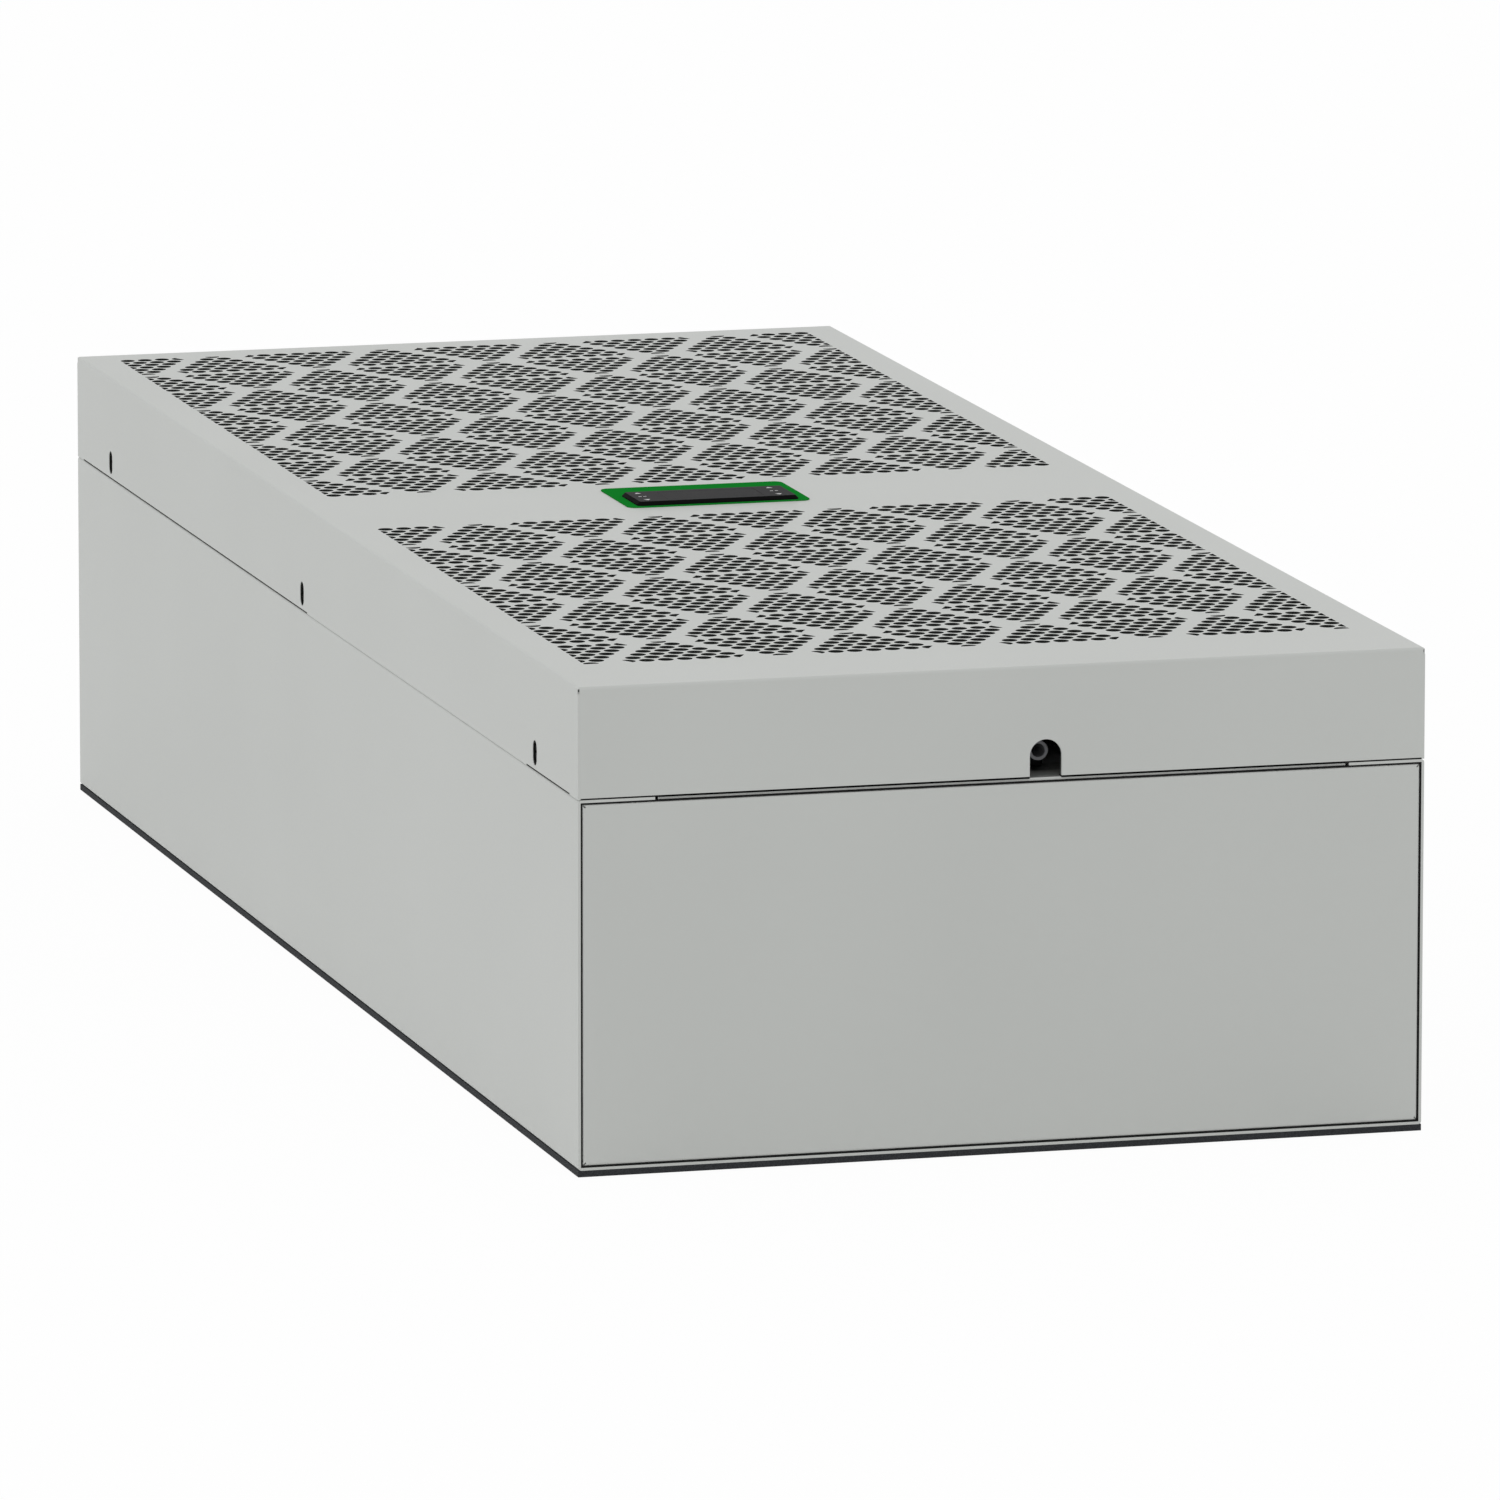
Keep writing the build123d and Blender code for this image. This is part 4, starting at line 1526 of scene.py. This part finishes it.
@dataclass
class EvaporatorSide:
    """What stands behind the mounting face's two openings."""

    fan_y: float = 265.0
    web_top: float = 4.25
    outlet_y: float = -325.0
    ring_half: float = 105.0
    ring_sheet: float = 1.25
    throat: float = 66.0
    throat_run: float = 4.0
    ring_wall: float = 1.2
    opening: float = 84.5
    lap: float = 1.5
    ring_depth: float = 22.0
    coil_half_width: float = 150.0
    coil_half_length: float = 105.0
    coil_bottom: float = 42.25
    coil_height: float = 55.0
    coil_ripples: int = 22
    impeller_bottom: float = 34.25
    impeller_height: float = 56.0
    impeller_radius: float = 100.0
    eye_radius: float = 72.0
    hub_radius: float = 36.0
    motor_height: float = 30.0
    blades: int = 7
    web: float = 3.0
    wire_radius: float = 1.0
    ring_share: float = 0.8
    spoke_lift: float = 0.4
    guard_rings: int = 6
    first_ring: float = 20.0
    ring_pitch: float = 12.5
    spoke: float = 72.0
    spoke_middle: float = 55.0
    spoke_pairs: int = 4

    def _nozzle(self) -> Piece:
        """Model the inlet ring: a square plate with a throat that flares into it."""
        low = self.web_top
        side, sheet = 2 * self.ring_half, self.ring_sheet
        plate = box((side, side, sheet), (0, self.fan_y, low + sheet / 2))
        cut(plate, rod(self.opening - self.lap, 6, (0, self.fan_y, low), 72))
        bevelled(plate, 0.3, 1)
        steps = 8
        flare, rise = self.opening - self.throat, self.ring_depth - self.throat_run
        outer = []
        for step in range(steps + 1):
            turn = math.pi / 2 * step / steps
            outer.append((self.opening - flare * math.sin(turn), rise * (1 - math.cos(turn))))
        outer.append((self.throat, self.ring_depth))
        back = [(radius + self.ring_wall, height) for radius, height in outer]
        ring = turned([*outer, *reversed(back)], (0, self.fan_y, low), 72)
        return joined([plate, ring])

    def _impeller(self) -> Piece:
        """Model the radial wheel: back disc, curved blades, hub and front ring."""
        low, high = self.impeller_bottom, self.impeller_bottom + self.impeller_height
        rim, eye, hub, disc = self.impeller_radius, self.eye_radius, self.hub_radius, 2
        foot, top = high - 28, high - 1
        back = [(AXIS, high - disc), (rim, high - disc), (rim, high), (AXIS, high)]
        middle = [(AXIS, foot), (hub - 3, foot), (hub, foot + 3), (hub, top), (AXIS, top)]
        front = [(eye, low + 0.5), (eye + disc, low), (rim, low + 6), (rim, low + 6 + disc)]
        front += [(eye + disc, low + disc)]
        sections = ((back, 64), (middle, 48), (front, 64))
        parts = [turned(section, (0, self.fan_y, 0), sides) for section, sides in sections]
        blade = self._wheel_blade(low + 4, high - 1)
        return joined([*parts, *fan_of(blade, self.blades, self.fan_y)])

    def _wheel_blade(self, low: float, high: float) -> Piece:
        """Model one backward-curved blade between two levels."""
        steps, wall, root, sweep = 8, 2.0, 58, 38
        line = []
        for step in range(steps + 1):
            share = step / steps
            radius = root + (self.impeller_radius - 1 - root) * share
            turn = math.radians(-sweep * share**0.9)
            line.append(Vector((radius * math.cos(turn), radius * math.sin(turn), low)))
        near, far = [], []
        for index, point in enumerate(line):
            along = (line[min(index + 1, steps)] - line[max(index - 1, 0)]).normalized()
            side = Vector((-along.y, along.x, 0)) * wall / 2
            near.append(tuple(point + side))
            far.append(tuple(point - side))
        blade = prism([*near, *reversed(far)], (0, 0, high - low))
        return bevelled(blade, 0.4, 1, 60)

    def _motor(self) -> Piece:
        """Model the motor's ribbed housing."""
        low = self.impeller_bottom + self.impeller_height
        radius, groove, top = self.hub_radius - 0.5, self.hub_radius - 2.5, self.motor_height
        profile = [(AXIS, 0.0), (radius, 0.0)]
        for base in range(3, 28, 5):
            profile += [(radius, base), (groove, base + 0.6)]
            profile += [(groove, base + 2.4), (radius, base + 3)]
        profile += [(radius, top - 1.5), (radius - 1.5, top), (AXIS, top)]
        return turned(profile, (0, self.fan_y, low), 48)

    def _guard(self) -> Piece:
        """Model the finger guard in the inlet hole: wire rings on eight spokes."""
        radius, level = self.wire_radius, self.web - self.wire_radius
        wires = [
            added(
                bpy.ops.mesh.primitive_torus_add,
                place=(0, self.fan_y, level),
                major_radius=self.first_ring + ring * self.ring_pitch,
                minor_radius=radius * self.ring_share,
                major_segments=64,
                minor_segments=6,
            )
            for ring in range(self.guard_rings)
        ]
        for spoke in range(self.spoke_pairs):
            turn = math.pi * spoke / self.spoke_pairs
            for middle in (-self.spoke_middle, self.spoke_middle):
                across, along = middle * math.cos(turn), middle * math.sin(turn)
                place = (across, self.fan_y + along, level + self.spoke_lift)
                bar = rod(radius, self.spoke, place, 8, (math.pi / 2, 0, turn + math.pi / 2))
                wires.append(bevelled(bar, 0.3, 1))
        return joined(wires)

    def build(self) -> None:
        """Build the evaporator and its fan, and dress the sheets round them."""
        dress(FINISH.zinc, "evaporator_plate_left", "evaporator_plate_right")
        dress(FINISH.zinc, "condensate_tray", "evaporator_fan_bridge")
        Coil(
            "evaporator_core",
            self.coil_half_width,
            self.coil_half_length,
            self.outlet_y,
            self.coil_bottom,
            self.coil_height,
            ripple_steps=self.coil_ripples,
        ).build()
        hand_over(self._nozzle(), "inlet_nozzle", FINISH.zinc, ["inlet_ring"], 30)
        hand_over(self._impeller(), "radial_wheel", FINISH.fan, ["evaporator_impeller"])
        hand_over(self._motor(), "fan_motor", FINISH.casting, ["evaporator_motor"])
        hand_over(self._guard(), "inlet_finger_guard", FINISH.wire, angle=60)


@dataclass
class Drain:
    """Condensate spigot behind the arched cut-out."""

    x: float = 19.6
    mouth_y: float = -488.0
    level: float = 183.75
    radius: float = 4.6
    bore: float = 3.1
    barrel: float = 17.0
    block: Triple = (14.0, 12.0, 17.1)
    block_bottom: float = 173.25
    edge: float = 0.15

    def build(self) -> None:
        """Model the barrel with its soft mouth, and the block that it stands on."""
        length, edge = self.barrel + self.block[1] / 2, self.edge
        inside = [(self.bore, -length), (self.bore, -edge), (self.bore + edge, 0.0)]
        outside = [(self.radius - edge, 0.0), (self.radius, -edge), (self.radius, -length)]
        mouth = (self.x, self.mouth_y, self.level)
        barrel = turned([*inside, *outside], mouth, 40, (0, -1, 0))
        centre_y = self.mouth_y + self.barrel + self.block[1] / 2
        block = box(self.block, (self.x, centre_y, self.block_bottom + self.block[2] / 2))
        drill_at = (self.x, centre_y - self.block[1] / 2, self.level)
        cut(block, rod(self.bore, self.block[1], drill_at, 40, (math.pi / 2, 0, 0)))
        bevelled(block, 0.8, 3)
        both = joined([barrel, block])
        elbow = hand_over(both, "drain_elbow", FINISH.drain, ["drain_spigot"])
        border = (self.mouth_y + self.barrel - 0.5) * MM
        refinish(elbow, FINISH.block, lambda face: face.calc_center_median().y > border)


# Studio


@dataclass
class Studio:
    """Pale floor, even light and the photograph's camera."""

    floor_size: float = 30.0
    floor_opening: Pair = (0.38, 0.98)
    floor_share: float = 0.04
    floor_colour: tuple[float, float, float, float] = (0.93, 0.93, 0.93, 1)
    floor_drop: float = 0.0003
    world_level: float = 0.82
    lens: float = 370.2475
    eye: Triple = (-1.94495, -7.10122, 1.44038)
    turn: Triple = (1.390594, -0.000944, -0.269595)
    sensor: float = 36.0
    sight: float = 100.0
    lamp_place: Triple = (-3.27, -1.47, 1.96)
    lamp_size: float = 2.5
    lamp_power: float = 9.8

    @staticmethod
    def _plain_rays(tree: bpy.types.NodeTree) -> bpy.types.NodeSocket:
        """Add a switch for the rays that see the plain white background.

        Args:
            tree: The node tree of the floor or the world.

        Returns:
            An output that is 1 for straight, mirrored and refracted rays.
        """
        rays = tree.nodes.new("ShaderNodeLightPath")
        found = rays.outputs["Is Camera Ray"]
        for name in ("Is Glossy Ray", "Is Transmission Ray"):
            either = tree.nodes.new("ShaderNodeMath")
            either.operation = "MAXIMUM"
            tree.links.new(found, either.inputs[0])
            tree.links.new(rays.outputs[name], either.inputs[1])
            found = either.outputs["Value"]
        return found

    def _floor(self) -> None:
        """Lay a pale floor that shows white from above and keeps the unit's shadow.

        It is open under the mounting face and has no underside, so the unit shows from below.
        """
        level = (0, 0, -self.floor_drop)
        opening = (*self.floor_opening, 1)
        floor = added(bpy.ops.mesh.primitive_plane_add, opening, level, size=1)
        with editing(floor):
            choose(floor, Part.EDGE, lambda edge: True)
            bpy.ops.mesh.extrude_edges_move()
            spread = tuple(self.floor_size / width for width in self.floor_opening)
            bpy.ops.transform.resize(value=(*spread, 1), center_override=level)
            choose(floor, Part.FACE, lambda face: face.calc_area() < 1)
            bpy.ops.mesh.delete(type="FACE")
            choose(floor, Part.FACE, lambda face: face.normal.z < 0)
            bpy.ops.mesh.flip_normals()
        floor.name = "floor"
        sheet = Sheet("pale_floor")
        sheet.set(Base_Color=self.floor_colour, Roughness=0.9)
        sheet.tree.nodes.remove(sheet.tree.nodes["Material Output"])
        output = sheet.node("ShaderNodeOutputMaterial")
        glow = sheet.node("ShaderNodeEmission")
        mix = sheet.node("ShaderNodeMixShader")
        seen = sheet.node("ShaderNodeMath", operation="MULTIPLY")
        seen.inputs[1].default_value = 1 - self.floor_share
        sheet.link(self._plain_rays(sheet.tree), seen.inputs[0])
        sheet.link(seen.outputs["Value"], mix.inputs["Fac"])
        sheet.link(sheet.shader.outputs["BSDF"], mix.inputs[1])
        sheet.link(glow.outputs["Emission"], mix.inputs[2])
        one_sided = sheet.node("ShaderNodeMixShader")
        geometry = sheet.node("ShaderNodeNewGeometry")
        clear = sheet.node("ShaderNodeBsdfTransparent")
        sheet.link(geometry.outputs["Backfacing"], one_sided.inputs["Fac"])
        sheet.link(mix.outputs["Shader"], one_sided.inputs[1])
        sheet.link(clear.outputs["BSDF"], one_sided.inputs[2])
        sheet.link(one_sided.outputs["Shader"], output.inputs["Surface"])
        floor.data.materials.append(sheet.material)

    def _world(self) -> None:
        """Light the unit evenly from all round, and show white behind it."""
        world = bpy.data.worlds.new("studio")
        bpy.context.scene.world = world
        world.use_nodes = True
        tree = world.node_tree
        background = tree.nodes["Background"]
        background.inputs["Color"].default_value = (1, 1, 1, 1)
        spread = tree.nodes.new("ShaderNodeMapRange")
        spread.inputs["To Min"].default_value = self.world_level
        spread.inputs["To Max"].default_value = 1.0
        tree.links.new(self._plain_rays(tree), spread.inputs["Value"])
        tree.links.new(spread.outputs["Result"], background.inputs["Strength"])

    def _lamp(self) -> None:
        """Hang one large soft lamp that points at the unit's middle."""
        bpy.ops.object.light_add(type="AREA", location=self.lamp_place)
        lamp = bpy.context.active_object
        lamp.name = "key"
        lamp.data.size, lamp.data.energy = self.lamp_size, self.lamp_power
        lamp.rotation_euler = (-Vector(self.lamp_place)).to_track_quat("-Z", "Y").to_euler()

    def _camera(self) -> None:
        """Stand the camera where the photograph was taken from."""
        bpy.ops.object.camera_add(location=self.eye, rotation=self.turn)
        camera = bpy.context.active_object
        camera.data.lens, camera.data.sensor_width = self.lens, self.sensor
        camera.data.clip_end = self.sight
        bpy.context.scene.camera = camera

    def build(self) -> None:
        """Set up the floor, the light and the camera."""
        self._floor()
        self._world()
        self._lamp()
        self._camera()
        bpy.context.scene.view_settings.view_transform = "Standard"
        LOG.info("studio is set")


def corners(box_corners: tuple[Vector, Vector]) -> list[list[float]]:
    """Return a box's two corners as plain lists."""
    return [list(corner) for corner in box_corners]


def main() -> None:
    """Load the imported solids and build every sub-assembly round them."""
    logging.basicConfig(level=logging.INFO, format="%(message)s")
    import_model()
    bpy.ops.object.select_all(action="DESELECT")
    inside = (CondenserSide, EvaporatorSide, Drain)
    for assembly in (Studio, Housing, SeamShadeStrips, DeckCaps, Cover, Display, *inside):
        assembly().build()


if __name__ == "__main__":
    main()
